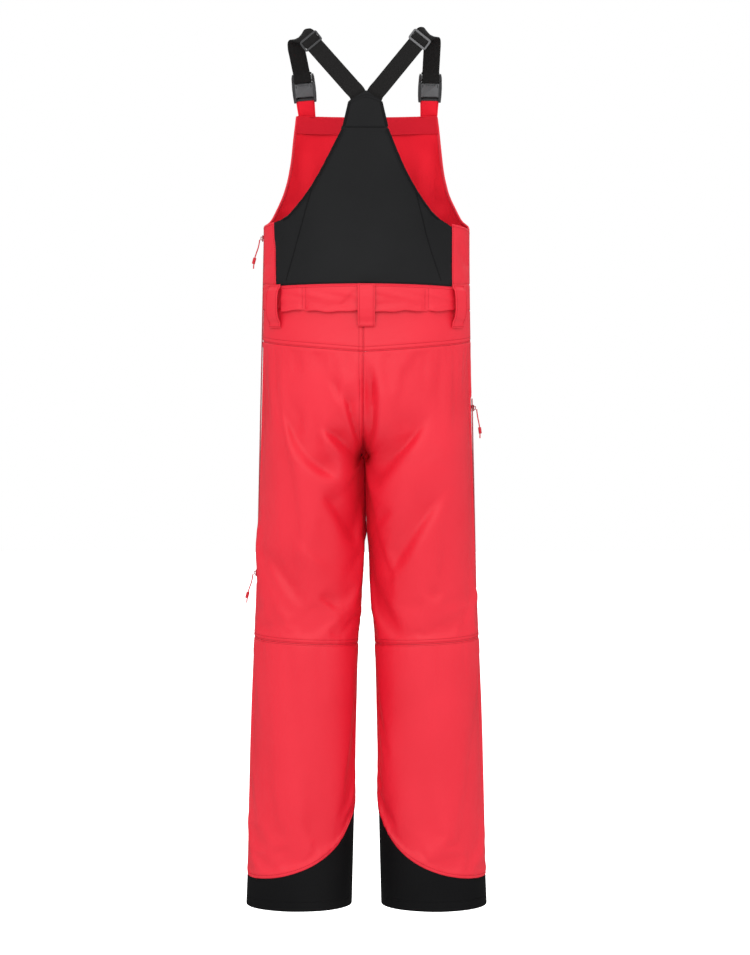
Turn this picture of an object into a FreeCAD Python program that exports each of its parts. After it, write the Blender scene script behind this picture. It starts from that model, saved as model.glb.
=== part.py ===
import FreeCAD, Part
import math
import os

V = FreeCAD.Vector

# Bib ski pants, as worn. Millimetres. The wearer faces -Y, the wearer's left is +X, +Z is up.
# Heights below are above the hem. The origin is the middle of the waist opening.

# ---- Driving dimensions ----
WAIST_HEIGHT = 1040.0
CROTCH_HEIGHT = 760.0
SEAT_HEIGHT = 900.0            # where the two legs have fully merged into one trunk
KNEE_SEAM = (460.0, 448.0)     # at the outseam, at the inseam
HIP_SEAM = (966.0, 946.0)      # at the side, at the centre back
BAND_LOW, BAND_HIGH = 1017.0, 1062.0
CUFF_SIDE = 50.0               # height of the black hem band at the outseam
KICK_PATCH_RISE = 137.0        # how much higher it is at the inseam
SHELL = 3.0                    # shell fabric with its lining
SEAM_GAP = 0.2                 # half of the gap between two neighbouring panels
ZIP_SLOT = 6.4                 # half of the opening that holds a zip
WEBBING = (30.0, 1.6)          # width, thickness
BUCKLE_WIDTH = 39.0
BUCKLE_LENGTH = 54.0
BELT_LOOP_WIDTH = 29.0

# Half-widths and depths of the body, each as (height, size).
OUTSEAM = [(0, 207), (50, 205), (200, 202), (335, 198.3), (450, 193.2), (540, 189.6),
           (1155, 176.4), (1400, 176.4)]
INSEAM = [(0, 25), (200, 20), (335, 17), (450, 14), (590, 4), (700, 1), (760, 0.5), (1400, 0.5)]
HALF_DEPTH = [(0, 90), (200, 90), (450, 96), (600, 103), (760, 114), (880, 124), (1017, 109),
              (1062, 107), (1400, 90)]
DEPTH_CENTRE = [(0, 6), (450, 0), (760, 4), (880, 6), (1017, 0), (1400, 0)]

# Outlines of the upper part as (x, height), from the side to the middle.
BIB_TOP = [(176.0, 1160), (165, 1172), (155, 1193), (142, 1225), (131, 1275), (126, 1326),
           (122, 1356)]
BACK_TOP = [(157.0, 1166), (139, 1171), (122, 1187), (95, 1221), (40, 1321)]
BACK_FOOT_HALF = 153.0
YOKE_HEIGHTS = (1321.6, 1372.0, 1386.0)   # foot, top corner, peak
YOKE_HALF = (39.6, 29.0)                  # foot, top corner
FACING_LOW = 1326.0

# Straps: where each leaves the back yoke, its corner over the shoulder, its foot on the bib.
YOKE_EXIT = {"left": V(15.5, 84, 1380), "right": V(-15.5, 84, 1380)}
SHOULDER = {"left": V(118.7, -5, 1505), "right": V(-113, -5, 1508)}
BIB_FOOT = {"left": V(107, -72, 1357), "right": V(-110.8, -72, 1357)}
ACROSS_BACK = {"left": V(-0.749, 0.08, 0.662), "right": V(0.749, 0.08, 0.662)}
ACROSS_FRONT = {"left": V(-1, 0.05, 0.08), "right": V(1, 0.05, 0.0)}
SHOULDER_BEND = 28.0           # how far from the corner the strap starts to bend
ADJUSTER_AT = 44.0             # from the shoulder corner down the back run
BUCKLE_FOOT = 25.0             # from the bib edge up the front run

# Zips: height of the top end, height of the bottom end.
SIDE_ZIP = (1156.0, 554.0)
VENT_ZIP = (868.0, 539.0)
FLY_ZIP = (1011.0, 886.0)
CHEST_ZIP = (1296.0, 1136.0)
CHEST_ZIP_X = 58.0
CHEST_POCKET = (74.0, -74.0, 1124.0, 1308.0)   # left edge, right edge, low, high
POCKET_LIFT = 6.8              # the pocket stands this far off the bib

# Cord of a zip pull: (outward from the tape, down from the slider), lying in one plane.
PULL_ROUTE = [(5.9, 2.2), (7.3, 14), (12.0, 27), (15.2, 40), (15.6, 52)]
VENT_ROUTE = [(5.9, 2.2), (6.9, 14), (9.6, 27), (10.9, 40), (10.6, 52)]
PULL_CORD = 2.0


def between(table, height):
    """Value of a (height, size) table at a height, in straight steps."""
    for (low, first), (high, second) in zip(table, table[1:]):
        if height <= high:
            share = max(0.0, (height - low) / (high - low))
            return first + (second - first) * share
    return table[-1][1]


def ease(share):
    share = min(1.0, max(0.0, share))
    return share * share * (3 - 2 * share)


def section(height):
    """Centre and half-width of one leg, centre and half-depth of the body, at a height."""
    outer = between(OUTSEAM, height)
    centre = (outer + between(INSEAM, height)) / 2
    if height > CROTCH_HEIGHT:
        merged = (height - CROTCH_HEIGHT) / (SEAT_HEIGHT - CROTCH_HEIGHT)
        centre = centre * (1 - ease(merged))
    return centre, outer - centre, between(DEPTH_CENTRE, height), between(HALF_DEPTH, height)


def trunk_point(angle, height, inset, face):
    """Point of the trunk; angle 0 is the wearer's left, pi the right, face +1 the back."""
    depth_centre, half_depth = section(height)[2:]
    half_width = between(OUTSEAM, height) - inset
    x = half_width * math.cos(angle)
    y = depth_centre + face * (half_depth - inset) * math.sin(angle)
    return V(x, y, height)


def leg_point(side, face, share, height, inset):
    """Point of one leg panel; share 0 is the outseam, 1 the inseam or the centre seam."""
    centre, half_width, depth_centre, half_depth = section(height)
    half_width = half_width - inset
    half_depth = half_depth - inset
    start = math.asin(SEAM_GAP / half_depth)
    end = math.pi - start
    if height > CROTCH_HEIGHT:
        end = min(end, math.acos(max(-1.0, (SEAM_GAP - centre) / half_width)))
    angle = start + (end - start) * share
    x = side * (centre + half_width * math.cos(angle))
    y = depth_centre + face * half_depth * math.sin(angle)
    return V(x, y, height)


def surface(rows):
    made = Part.BSplineSurface()
    made.interpolate(rows)
    return made


def skin(outer_rows, inner_rows):
    """Closed solid between two grids of points."""
    outer, inner = surface(outer_rows), surface(inner_rows)
    faces = [outer.toShape(), inner.toShape()]
    for iso, ends in (("uIso", 0), ("vIso", 2)):
        for end in outer.bounds()[ends:ends + 2]:
            edges = [getattr(made, iso)(end).toShape() for made in (outer, inner)]
            faces.append(Part.makeRuledSurface(*edges, 1))
    shell = Part.makeShell(faces)
    shell.sewShape()
    solid = Part.makeSolid(Part.Shell(shell.Faces))
    if solid.Volume < 0:
        solid.reverse()
    return solid


def grid(point, rows, columns):
    """Grid of points, point(across, up) with both shares from 0 to 1."""
    return [[point(i / columns, j / rows) for i in range(columns + 1)] for j in range(rows + 1)]


def leg_panel(side, face, low, high, rows, columns=10, inset=0.0, thickness=SHELL):
    """Leg panel; low and high are heights as functions of the share round the leg."""
    def layer(depth):
        def point(across, up):
            height = low(across) + (high(across) - low(across)) * up
            return leg_point(side, face, across, height, depth)
        return grid(point, rows, columns)
    panel = trimmed(skin(layer(inset), layer(inset + thickness)), side)
    if high(1.0) < CROTCH_HEIGHT:
        return panel
    seam = section(CROTCH_HEIGHT)[2]
    past_seam = block(sorted((0, 60 * side)), sorted((seam + face * SEAM_GAP, -60 * face)),
                      (CROTCH_HEIGHT - 60, CROTCH_HEIGHT + 60))
    return panel.cut(past_seam)


def trunk_shell(face, low, high, inset, thickness):
    """Half of the trunk, front or back, between two heights."""
    def layer(depth):
        def point(across, up):
            height = low + (high - low) * up
            edge = math.asin(SEAM_GAP / (section(height)[3] - depth))
            return trunk_point(edge + (math.pi - 2 * edge) * across, height, depth, face)
        return grid(point, 8, 24)
    return skin(layer(inset), layer(inset + thickness))


def cut_out(edges):
    """Column with an outline in the front plane, through the whole depth of the body."""
    face = Part.Face(Part.Wire(edges))
    face.translate(V(0, -200, 0))
    return face.extrude(V(0, 400, 0))


def polyline(points):
    corners = [V(x, 0, height) for x, height in points]
    return [Part.makeLine(a, b) for a, b in zip(corners, corners[1:])]


def curve(points):
    made = Part.BSplineCurve()
    made.interpolate([V(x, 0, height) for x, height in points])
    return made.toShape()


def closed(points):
    return polyline(points + points[:1])


def mirrored(points):
    return [(-x, height) for x, height in reversed(points)]


def trunk_panel(face, edges, low, high, inset=0.0, thickness=SHELL):
    """Panel of the trunk inside an outline seen from the front."""
    return trimmed(trunk_shell(face, low, high, inset, thickness).common(cut_out(edges)))


def placed(shape, origin, out, up):
    """Shape from its own axes (x across, y outward, z up) to the body's."""
    up = V(up).normalize()
    across = V(out).cross(up).normalize()
    out = up.cross(across)
    turn = FreeCAD.Matrix(across.x, out.x, up.x, origin.x, across.y, out.y, up.y, origin.y,
                          across.z, out.z, up.z, origin.z, 0, 0, 0, 1)
    moved = shape.copy()
    moved.Placement = FreeCAD.Placement(turn)
    return moved


def block(x, y, z):
    """Box from its (low, high) limits along each axis."""
    return Part.makeBox(x[1] - x[0], y[1] - y[0], z[1] - z[0], V(x[0], y[0], z[0]))


def rounded(shape, radius, along=None):
    """Shape with its edges filleted, all of them or those along one axis."""
    edges = shape.Edges
    if along:
        edges = [e for e in edges if abs(e.tangentAt(e.FirstParameter).dot(along)) > 0.99]
    return shape.makeFillet(radius, edges)


def fused(first, *others):
    return first.multiFuse(list(others)).removeSplitter()


# ---- Where the zips run ----
def side_line(side, height):
    """Point of the outseam's straight stretch."""
    return V(side * between(OUTSEAM, height), 0.0, height)


def front_line(x, height):
    """Point of the front face above the seat."""
    depth_centre, half_depth = section(height)[2:]
    across = x / between(OUTSEAM, height)
    return V(x, depth_centre - half_depth * math.sqrt(1 - across * across), height)


def zip_frame(top, foot, out):
    """Zip's own axes: its top end, its outward and its upward direction."""
    up = (top - foot).normalize()
    out = (out - up * out.dot(up)).normalize()
    return top, out, up


def side_zip_frame():
    return zip_frame(side_line(1, SIDE_ZIP[0]), side_line(1, SIDE_ZIP[1]), V(1, 0, 0))


def vent_zip_frame():
    return zip_frame(side_line(-1, VENT_ZIP[0]), side_line(-1, VENT_ZIP[1]), V(-1, 0, 0))


def fly_zip_frame():
    return zip_frame(front_line(0, FLY_ZIP[0]), front_line(0, FLY_ZIP[1]), V(0, -1, 0))


def zip_length(ends, frame):
    return (ends[0] - ends[1]) / frame[2].z


def trimmed(panel, side=0):
    """Panel with the zips' slots cut out of it, and kept on its own side of the middle."""
    for ends, frame in ((SIDE_ZIP, side_zip_frame()), (VENT_ZIP, vent_zip_frame()),
                        (FLY_ZIP, fly_zip_frame())):
        slot = block((-ZIP_SLOT, ZIP_SLOT), (-9, 9), (-zip_length(ends, frame) - 1, 5))
        slot = placed(slot, *frame)
        if panel.BoundBox.intersect(slot.BoundBox):
            panel = panel.cut(slot)
    if side:
        other_side = block(sorted((SEAM_GAP * side, -60 * side)), (-200, 200), (0, 1200))
        if panel.BoundBox.intersect(other_side.BoundBox):
            panel = panel.cut(other_side)
    return panel


# ---- Shell panels ----
def kick_edge(sharpness):
    """Top edge of the black cuff, low at the outseam and sweeping up the instep."""
    return lambda share: CUFF_SIDE + KICK_PATCH_RISE * share ** sharpness


def leveled(heights, offset=0.0):
    return lambda share: heights[0] + (heights[1] - heights[0]) * share + offset


def lower_body(side, name):
    parts = {}
    knee, hip = leveled(KNEE_SEAM), leveled(HIP_SEAM)
    for face, where, sharpness in ((1, "back", 3.0), (-1, "front", 4.5)):
        edge = kick_edge(sharpness)
        parts[f"{name}_cuff_{where}"] = leg_panel(side, face, lambda s: 0.0, edge, 4)
        parts[f"{name}_lower_leg_{where}"] = leg_panel(
            side, face, lambda s, edge=edge: edge(s) + 2 * SEAM_GAP, leveled(KNEE_SEAM, -0.4), 7)
    parts[f"{name}_thigh_back"] = leg_panel(side, 1, knee, leveled(HIP_SEAM, -0.4), 26)
    parts[f"{name}_hip_yoke"] = leg_panel(side, 1, hip, lambda s: BAND_LOW - 0.4, 4)
    parts[f"{name}_thigh_front"] = leg_panel(side, -1, knee, lambda s: BAND_LOW - 0.4, 28)
    return parts


def snow_gaiter(side):
    """Elastic inner cuff, hung inside the leg above the hem."""
    low, high, wall = 34.0, 225.0, 1.6
    rings = []
    for inset in (0.0, wall):
        wires = []
        for height, clearance in ((low, 17.0), ((low + high) / 2, 14.0), (high, 6.0)):
            centre, half_width, depth_centre, half_depth = section(height)
            away = SHELL + clearance + inset
            ellipse = Part.Ellipse(V(0, 0, 0), max(half_width, half_depth + 1e-3) - away,
                                   min(half_width, half_depth) - away)
            edge = ellipse.toShape()
            edge.translate(V(side * centre, depth_centre, height))
            wires.append(Part.Wire(edge))
        rings.append(Part.makeLoft(wires, True))
    return rings[0].cut(rings[1])


def upper_body():
    low = BAND_HIGH + 2 * SEAM_GAP
    side, top = 180.0, 1400.0
    bib = [curve(BIB_TOP), *polyline([BIB_TOP[-1], mirrored(BIB_TOP)[0]]),
           curve(mirrored(BIB_TOP)),
           *polyline([mirrored(BIB_TOP)[-1], (-side, 1150), (-side, low - 9), (side, low - 9),
                      (side, 1150), BIB_TOP[0]])]
    back = [curve(BACK_TOP), *polyline([BACK_TOP[-1], mirrored(BACK_TOP)[0]]),
            curve(mirrored(BACK_TOP)),
            *polyline([mirrored(BACK_TOP)[-1], (-BACK_FOOT_HALF, low - 9),
                       (BACK_FOOT_HALF, low - 9), BACK_TOP[0]])]
    yoke_low, yoke_corner, yoke_peak = YOKE_HEIGHTS
    yoke = closed([(YOKE_HALF[0], yoke_low), (YOKE_HALF[1], yoke_corner), (0, yoke_peak),
                   (-YOKE_HALF[1], yoke_corner), (-YOKE_HALF[0], yoke_low)])
    bib_high = BIB_TOP[-1][1]
    facing = closed([(125, FACING_LOW), (121, bib_high + 9), (-121, bib_high + 9),
                     (-125, FACING_LOW)])
    parts = {
        "front_bib_panel": trunk_panel(-1, bib, low, top),
        "front_bib_facing": trunk_panel(-1, facing, FACING_LOW, bib_high, SHELL + 0.4, 1.6),
        "back_bib_panel": trunk_panel(1, back, low, top),
        "back_bib_yoke": trunk_panel(1, yoke, yoke_low - 9, top),
    }
    for name, sign in (("left", 1), ("right", -1)):
        panel = closed([(sign * x, height) for x, height in (
            (side, low - 9), (BACK_FOOT_HALF + 0.5, low - 9), (157.5, 1166), (side, 1160))])
        parts[f"{name}_side_panel"] = trunk_panel(1, panel, low, 1200)
    return parts


def waist():
    tunnel = closed([(141, BAND_LOW - 9), (141, BAND_HIGH + 9), (-149, BAND_HIGH + 9),
                     (-149, BAND_LOW - 9)])
    return {
        "waistband_back": trimmed(trunk_shell(1, BAND_LOW, BAND_HIGH, 0.0, 3.6)),
        "waistband_front": trimmed(trunk_shell(-1, BAND_LOW, BAND_HIGH, 0.0, 3.6)),
        "waistband_tunnel": trunk_panel(1, tunnel, BAND_LOW + 2, BAND_HIGH - 1, -2.2, 1.8),
    }


# Belt loops: name, angle round the waist in degrees, face, foot height, bow.
BELT_LOOPS = [("back", 90.0, 1, 988.0, 7.5), ("left", 30.5, 1, 987.0, 10.0),
              ("right", 149.5, 1, 987.0, 10.0), ("front_left", 62.0, -1, 990.0, 7.5),
              ("front_right", 118.0, -1, 990.0, 7.5)]
LOOP_TOP = 1060.0
LOOP_THICKNESS = 2.0


def belt_loop(angle_deg, face, foot, bow):
    """Strap sewn at both ends, standing off the band in between."""
    middle = math.radians(angle_deg)
    stand_off = [(0.0, 1.2), (0.09, 1.6), (0.25, 0.75 * bow), (0.45, bow), (0.65, bow),
                 (0.85, 0.8 * bow), (0.95, 3.4), (1.0, 2.9)]

    def layer(extra):
        rows = []
        for share, gap in stand_off:
            height = foot + (LOOP_TOP - foot) * share
            depth_centre, half_depth = section(height)[2:]
            half_width = between(OUTSEAM, height)
            centre = V(half_width * math.cos(middle),
                       depth_centre + face * half_depth * math.sin(middle), height)
            outward = V(math.cos(middle) / half_width, face * math.sin(middle) / half_depth, 0)
            outward.normalize()
            across = V(-outward.y, outward.x, 0)
            row = [centre + across * (step * BELT_LOOP_WIDTH / 2) + outward * (gap + extra)
                   for step in (-1, 0, 1)]
            rows.append(row)
        return rows
    return skin(layer(0.0), layer(LOOP_THICKNESS))


# ---- Straps, adjusters and buckles ----
def strap_line(name):
    """Straight back run, bend over the shoulder, straight front run, as points."""
    corner = SHOULDER[name]
    back = (YOKE_EXIT[name] - corner).normalize()
    front = (BIB_FOOT[name] - corner).normalize()
    back_run = (YOKE_EXIT[name] - corner).Length
    front_run = (BIB_FOOT[name] - corner).Length - BUCKLE_FOOT - 46.8
    sewn = YOKE_EXIT[name] + V(-0.66 * YOKE_EXIT[name].x, 0, -24)
    line = [sewn, sewn + (YOKE_EXIT[name] - sewn) * 0.55]
    line += [corner + back * (back_run + (SHOULDER_BEND - back_run) * i / 10) for i in range(11)]
    first, last = corner + back * SHOULDER_BEND, corner + front * SHOULDER_BEND
    for i in range(1, 6):
        t = i / 6
        line.append(first * (1 - t) ** 2 + corner * 2 * t * (1 - t) + last * t * t)
    line += [last + front * ((front_run - SHOULDER_BEND) * i / 5) for i in range(6)]
    return line


def strap_frames(name):
    """Each point of the strap with its directions across the webbing and out of its face."""
    line = strap_line(name)
    lengths = [0.0]
    for a, b in zip(line, line[1:]):
        lengths.append(lengths[-1] + (b - a).Length)
    turn_from, turn_to = lengths[11], lengths[19]
    frames = []
    for i, point in enumerate(line):
        along = (line[min(i + 1, len(line) - 1)] - line[max(i - 1, 0)]).normalize()
        share = ease((lengths[i] - turn_from) / (turn_to - turn_from))
        across = ACROSS_BACK[name] * (1 - share) + ACROSS_FRONT[name] * share
        across = (across - along * across.dot(along)).normalize()
        out = across.cross(along) if name == "left" else along.cross(across)
        frames.append((point, across, out.normalize()))
    return frames


def strap(name):
    width, thickness = WEBBING

    def layer(offset):
        return [[point + across * (width / 2 * step) + out * offset for step in (-1, 0, 1)]
                for point, across, out in strap_frames(name)]
    whole = skin(layer(thickness / 2), layer(-thickness / 2))
    other_side = block((-80, -0.3), (0, 120), (1300, 1420))
    if name == "right":
        other_side = block((0.3, 80), (0, 120), (1300, 1420))
    return whole.cut(other_side)


def adjuster():
    """Three-bar slide: the end bars lie over the webbing and the middle bar under it."""
    half, rail, clear = WEBBING[0] / 2, 2.6, WEBBING[1] / 2 + 0.5
    length, bar = 24.0, 2.4
    rails = [rounded(block((s * (half + 0.6 + rail / 2) - rail / 2,
                            s * (half + 0.6 + rail / 2) + rail / 2),
                           (-clear - bar, clear + bar), (-length / 2, length / 2)), 0.9)
             for s in (-1, 1)]
    reach = half + 0.6 + rail / 2
    bars = [block((-reach, reach), (clear, clear + bar), (z, z + 3.0))
            for z in (-length / 2 + 0.4, length / 2 - 3.4)]
    bars.append(block((-reach, reach), (-clear - bar, -clear), (-1.8, 1.8)))
    return fused(rails[0], rails[1], *bars)


def buckle_socket():
    """Sleeve of the buckle, with the bar that holds the bib's tab below it."""
    half = BUCKLE_WIDTH / 2
    body = rounded(block((-half, half), (-4.6, 4.6), (9.0, 37.0)), 2.0, V(0, 0, 1))
    cavity = block((-half + 3, half - 3), (-2.7, 2.7), (12.0, 38.0))
    windows = [block((s * half - 4, s * half + 4), (-2.7, 2.7), (24.0, 33.0)) for s in (-1, 1)]
    rails = [block((s * (half - 2) - 2, s * (half - 2) + 2), (-2.2, 4.6), (1.0, 10.0))
             for s in (-1, 1)]
    bar = rounded(block((-half, half), (1.4, 4.6), (0.0, 4.0)), 0.8)
    return fused(body.cut(cavity).cut(windows[0]).cut(windows[1]), rails[0], rails[1], bar)


def buckle_prong():
    """Plug half of the buckle, with the bar that holds the webbing at its top."""
    half = BUCKLE_WIDTH / 2
    base = rounded(block((-half, half), (-3.6, 4.4), (37.6, 46.0)), 1.2, V(1, 0, 0))
    blade = block((-6.0, 6.0), (-2.2, 2.2), (16.0, 38.0))
    arms = [block((s * 12.0 - 2.1, s * 12.0 + 2.1), (-2.2, 2.2), (18.0, 38.0)) for s in (-1, 1)]
    rails = [block((s * (half - 1.7) - 1.7, s * (half - 1.7) + 1.7), (-2.2, 4.4), (45.0, 53.0))
             for s in (-1, 1)]
    bar = rounded(block((-half, half), (1.3, 4.4), (50.0, BUCKLE_LENGTH)), 0.8)
    return fused(base, blade, arms[0], arms[1], rails[0], rails[1], bar)


def strap_tab():
    """Fabric tab from the bib's top edge, through the buckle's slot and round its bar."""
    return block((-15, 15), (-1.9, 0.9), (0.6 - BUCKLE_FOOT, 8.4))


def harness(name):
    corner = SHOULDER[name]
    back = (YOKE_EXIT[name] - corner).normalize()
    front = (BIB_FOOT[name] - corner).normalize()
    frames = strap_frames(name)
    seat = corner + back * ADJUSTER_AT
    foot = BIB_FOOT[name] - front * BUCKLE_FOOT
    back_out, front_out = frames[6][2], frames[-2][2]
    return {
        f"{name}_strap": strap(name),
        f"{name}_strap_adjuster": placed(adjuster(), seat, back_out, back * -1),
        f"{name}_buckle_socket": placed(buckle_socket(), foot, front_out, front * -1),
        f"{name}_buckle_prong": placed(buckle_prong(), foot, front_out, front * -1),
        f"{name}_strap_tab": placed(strap_tab(), foot, front_out, front * -1),
    }


# ---- Zips ----
TAPE_FACE = -1.1               # outer face of the tape, below the face of the shell
CHAIN = (0.75, 2.4)            # from the middle of the zip to the edges of one row of teeth


def zip_tapes(length):
    tapes = [block(sorted((s * CHAIN[1], s * (ZIP_SLOT - 0.4))), (TAPE_FACE - 1, TAPE_FACE),
                   (-length, 0)) for s in (-1, 1)]
    return Part.makeCompound(tapes)


def zip_chain(length):
    rows = [block(sorted((s * CHAIN[0], s * CHAIN[1])), (-2.9, -0.4), (-length, 0))
            for s in (-1, 1)]
    return Part.makeCompound(rows)


def slider(with_tab):
    """Two wings joined by a bridge that runs between the rows of teeth, and a bail."""
    front = rounded(block((-4.2, 4.2), (0.0, 1.7), (-5.5, 5.5)), 0.7)
    rear = block((-4.0, 4.0), (-4.9, -3.3), (-5.0, 5.0))
    bridge = block((-0.4, 0.4), (-3.4, 0.1), (-0.5, 5.0))
    bail = block((-0.9, 0.9), (1.6, 4.6), (-3.0, 3.0)).cut(
        block((-1.0, 1.0), (1.7, 3.2), (-1.8, 1.8)))
    if not with_tab:
        return fused(front, rear, bridge, bail)
    tab = rounded(block((-2.6, 2.6), (4.7, 6.3), (-26.0, 2.0)), 0.7)
    neck = block((-0.9, 0.9), (4.5, 4.9), (-1.0, 1.0))
    return fused(front, rear, bridge, bail, neck, tab)


def cord_route(route, face, frame, drop):
    """Route of a pull's cord, from the zip's own axes to the body's."""
    top, out, up = frame
    return [top + out * (u + face) - up * (drop + down) for u, down in route]


def cord_tube(points, diameter, name):
    """Straight runs joined by tangent arcs as large as the runs allow."""
    edges, here = [], points[0]
    for before, corner, after in zip(points, points[1:], points[2:]):
        into = (corner - before).normalize()
        away = (after - corner).normalize()
        turn = into.getAngle(away)
        reach = 0.45 * min((corner - before).Length, (after - corner).Length)
        print(name, "arc radius", round(reach / math.tan(turn / 2), 1))
        start, end = corner - into * reach, corner + away * reach
        bisector = (away - into).normalize()
        radius = reach / math.tan(turn / 2)
        centre = corner + bisector * (radius / math.cos(turn / 2))
        edges.append(Part.LineSegment(here, start).toShape())
        edges.append(Part.Arc(start, centre - bisector * radius, end).toShape())
        here = end
    edges.append(Part.LineSegment(here, points[-1]).toShape())
    path = Part.Wire(edges)
    circle = Part.Circle(points[0], (points[1] - points[0]).normalize(), diameter / 2)
    tube = path.makePipeShell([Part.Wire(circle.toShape())], True, True)
    expected = math.pi * (diameter / 2) ** 2 * path.Length
    print(name, "volume over section times length", round(tube.Volume / expected, 4))
    return tube


def pull_bead(points, tube):
    """Moulded end of a cord pull, over the cord's last run but one."""
    near = points[-2] + (points[-3] - points[-2]) * 0.35
    axis = points[-2] - near
    bead = Part.makeCylinder(2.7, 11.0, near - axis * 0.5, axis)
    return rounded(bead, 0.9).cut(tube)


def corded_slider(name, frame, drop, route):
    top, out, up = frame
    seat = top - up * drop
    points = cord_route(route, 0.0, frame, drop)
    tube = cord_tube(points, PULL_CORD, name)
    return {
        f"{name}_slider": placed(slider(False), seat, out, up),
        f"{name}_pull_cord": tube,
        f"{name}_pull_bead": pull_bead(points, tube),
    }


def zips():
    parts = {}
    left, right, fly = side_zip_frame(), vent_zip_frame(), fly_zip_frame()
    for name, frame, ends in (("side_zip", left, SIDE_ZIP), ("vent_zip", right, VENT_ZIP),
                              ("fly_zip", fly, FLY_ZIP)):
        length = zip_length(ends, frame)
        parts[f"{name}_tape"] = placed(zip_tapes(length), *frame)
        parts[f"{name}_chain"] = placed(zip_chain(length), *frame)
    parts.update(corded_slider("side_zip_upper", left, 15.0, PULL_ROUTE))
    parts.update(corded_slider("side_zip_lower", left, SIDE_ZIP[0] - SIDE_ZIP[1] - 14.0,
                               PULL_ROUTE))
    parts.update(corded_slider("vent_zip", right, 17.0, VENT_ROUTE))
    parts["fly_zip_slider"] = placed(slider(True), fly[0] - fly[2] * 12.0, fly[1], fly[2])
    return parts


def chest_zip_frame():
    """The zip lies in the pocket's face, near the pocket's edge on the wearer's left."""
    top, foot = [front_line(CHEST_ZIP_X, height) for height in CHEST_ZIP]
    half_width, half_depth = between(OUTSEAM, CHEST_ZIP[0]), section(CHEST_ZIP[0])[3]
    normal = V(top.x / half_width ** 2, top.y / half_depth ** 2, 0).normalize()
    lift = normal * (POCKET_LIFT + 2 * SEAM_GAP)
    return zip_frame(top + lift, foot + lift, normal)


def chest_pocket():
    """Patch pocket on the front of the bib, with a zip in its face."""
    left, right, low, high = CHEST_POCKET
    outline = closed([(left, low), (left, high), (right, high), (right, low)])
    face = -POCKET_LIFT - 2 * SEAM_GAP
    pocket = trunk_panel(-1, outline, low - 9, high + 9, face, POCKET_LIFT)
    frame = chest_zip_frame()
    length = zip_length(CHEST_ZIP, frame)
    slot = block((-ZIP_SLOT, ZIP_SLOT), (-12, 9), (-length - 1, 1))
    return {
        "chest_pocket": pocket.cut(placed(slot, *frame)),
        "chest_zip_tape": placed(zip_tapes(length), *frame),
        "chest_zip_chain": placed(zip_chain(length), *frame),
        "chest_zip_slider": placed(slider(True), frame[0] - frame[2] * 9.0, *frame[1:]),
    }


def build():
    parts = {}
    parts.update(upper_body())
    parts.update(waist())
    for name, angle, face, foot, bow in BELT_LOOPS:
        parts[f"belt_loop_{name}"] = belt_loop(angle, face, foot, bow)
    for name, side in (("left", 1), ("right", -1)):
        parts.update(lower_body(side, name))
        parts[f"{name}_snow_gaiter"] = snow_gaiter(side)
        parts.update(harness(name))
    parts.update(zips())
    parts.update(chest_pocket())
    return parts


os.makedirs("parts", exist_ok=True)
for node, shape in build().items():
    shape.translate(V(0, 0, -WAIST_HEIGHT))
    assert shape.isValid() and shape.Volume > 0, node
    shape.exportStep(f"parts/{node}.step")
print(len(os.listdir("parts")), "nodes")
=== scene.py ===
import math
import bmesh
import bpy
import numpy as np
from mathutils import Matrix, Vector
from mathutils.kdtree import KDTree


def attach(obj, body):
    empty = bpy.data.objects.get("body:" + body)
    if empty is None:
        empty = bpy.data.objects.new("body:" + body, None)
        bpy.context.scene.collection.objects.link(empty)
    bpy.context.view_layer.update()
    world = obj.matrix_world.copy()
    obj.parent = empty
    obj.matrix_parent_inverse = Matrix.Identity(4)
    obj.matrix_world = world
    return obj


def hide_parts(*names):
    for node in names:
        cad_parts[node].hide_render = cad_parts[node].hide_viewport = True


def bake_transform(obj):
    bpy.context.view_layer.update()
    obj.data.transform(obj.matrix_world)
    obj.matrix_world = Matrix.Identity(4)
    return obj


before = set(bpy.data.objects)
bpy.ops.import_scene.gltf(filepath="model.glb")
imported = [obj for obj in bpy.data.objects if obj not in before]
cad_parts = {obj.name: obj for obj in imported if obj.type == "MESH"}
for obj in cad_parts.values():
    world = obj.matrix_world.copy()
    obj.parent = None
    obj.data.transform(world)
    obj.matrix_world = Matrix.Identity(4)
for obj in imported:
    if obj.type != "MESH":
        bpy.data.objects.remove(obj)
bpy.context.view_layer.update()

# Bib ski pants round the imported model. Metres. The wearer faces -Y and +X is the wearer's left.
# Heights are above the hem, and the frame's origin is the middle of the waist opening.
WAIST_HEIGHT = 1.040
CROTCH_HEIGHT = 0.760
SEAT_HEIGHT = 0.900
KNEE_SEAM = (0.460, 0.448)
HIP_SEAM = (0.966, 0.946)
BAND_LOW, BAND_HIGH = 1.017, 1.062
CUFF_SIDE = 0.050
KICK_PATCH_RISE = 0.137
SEAM_GAP = 0.0002
ZIP_SLOT = 0.0064
FABRIC = 0.0024                # shell with its lining
WEBBING = (0.0292, 0.0016)

# Half-widths and depths of the body, each as (height, size).
OUTSEAM = [(0, 0.207), (0.05, 0.205), (0.2, 0.202), (0.335, 0.1983), (0.45, 0.1932),
           (0.54, 0.1896), (1.155, 0.1764), (1.4, 0.1764)]
INSEAM = [(0, 0.025), (0.2, 0.020), (0.335, 0.017), (0.45, 0.014), (0.59, 0.004), (0.7, 0.001),
          (0.76, 0.0005), (1.4, 0.0005)]
HALF_DEPTH = [(0, 0.090), (0.2, 0.090), (0.45, 0.096), (0.6, 0.103), (0.76, 0.114),
              (0.88, 0.124), (1.017, 0.109), (1.062, 0.107), (1.4, 0.090)]
DEPTH_CENTRE = [(0, 0.006), (0.45, 0), (0.76, 0.004), (0.88, 0.006), (1.017, 0), (1.4, 0)]

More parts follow.
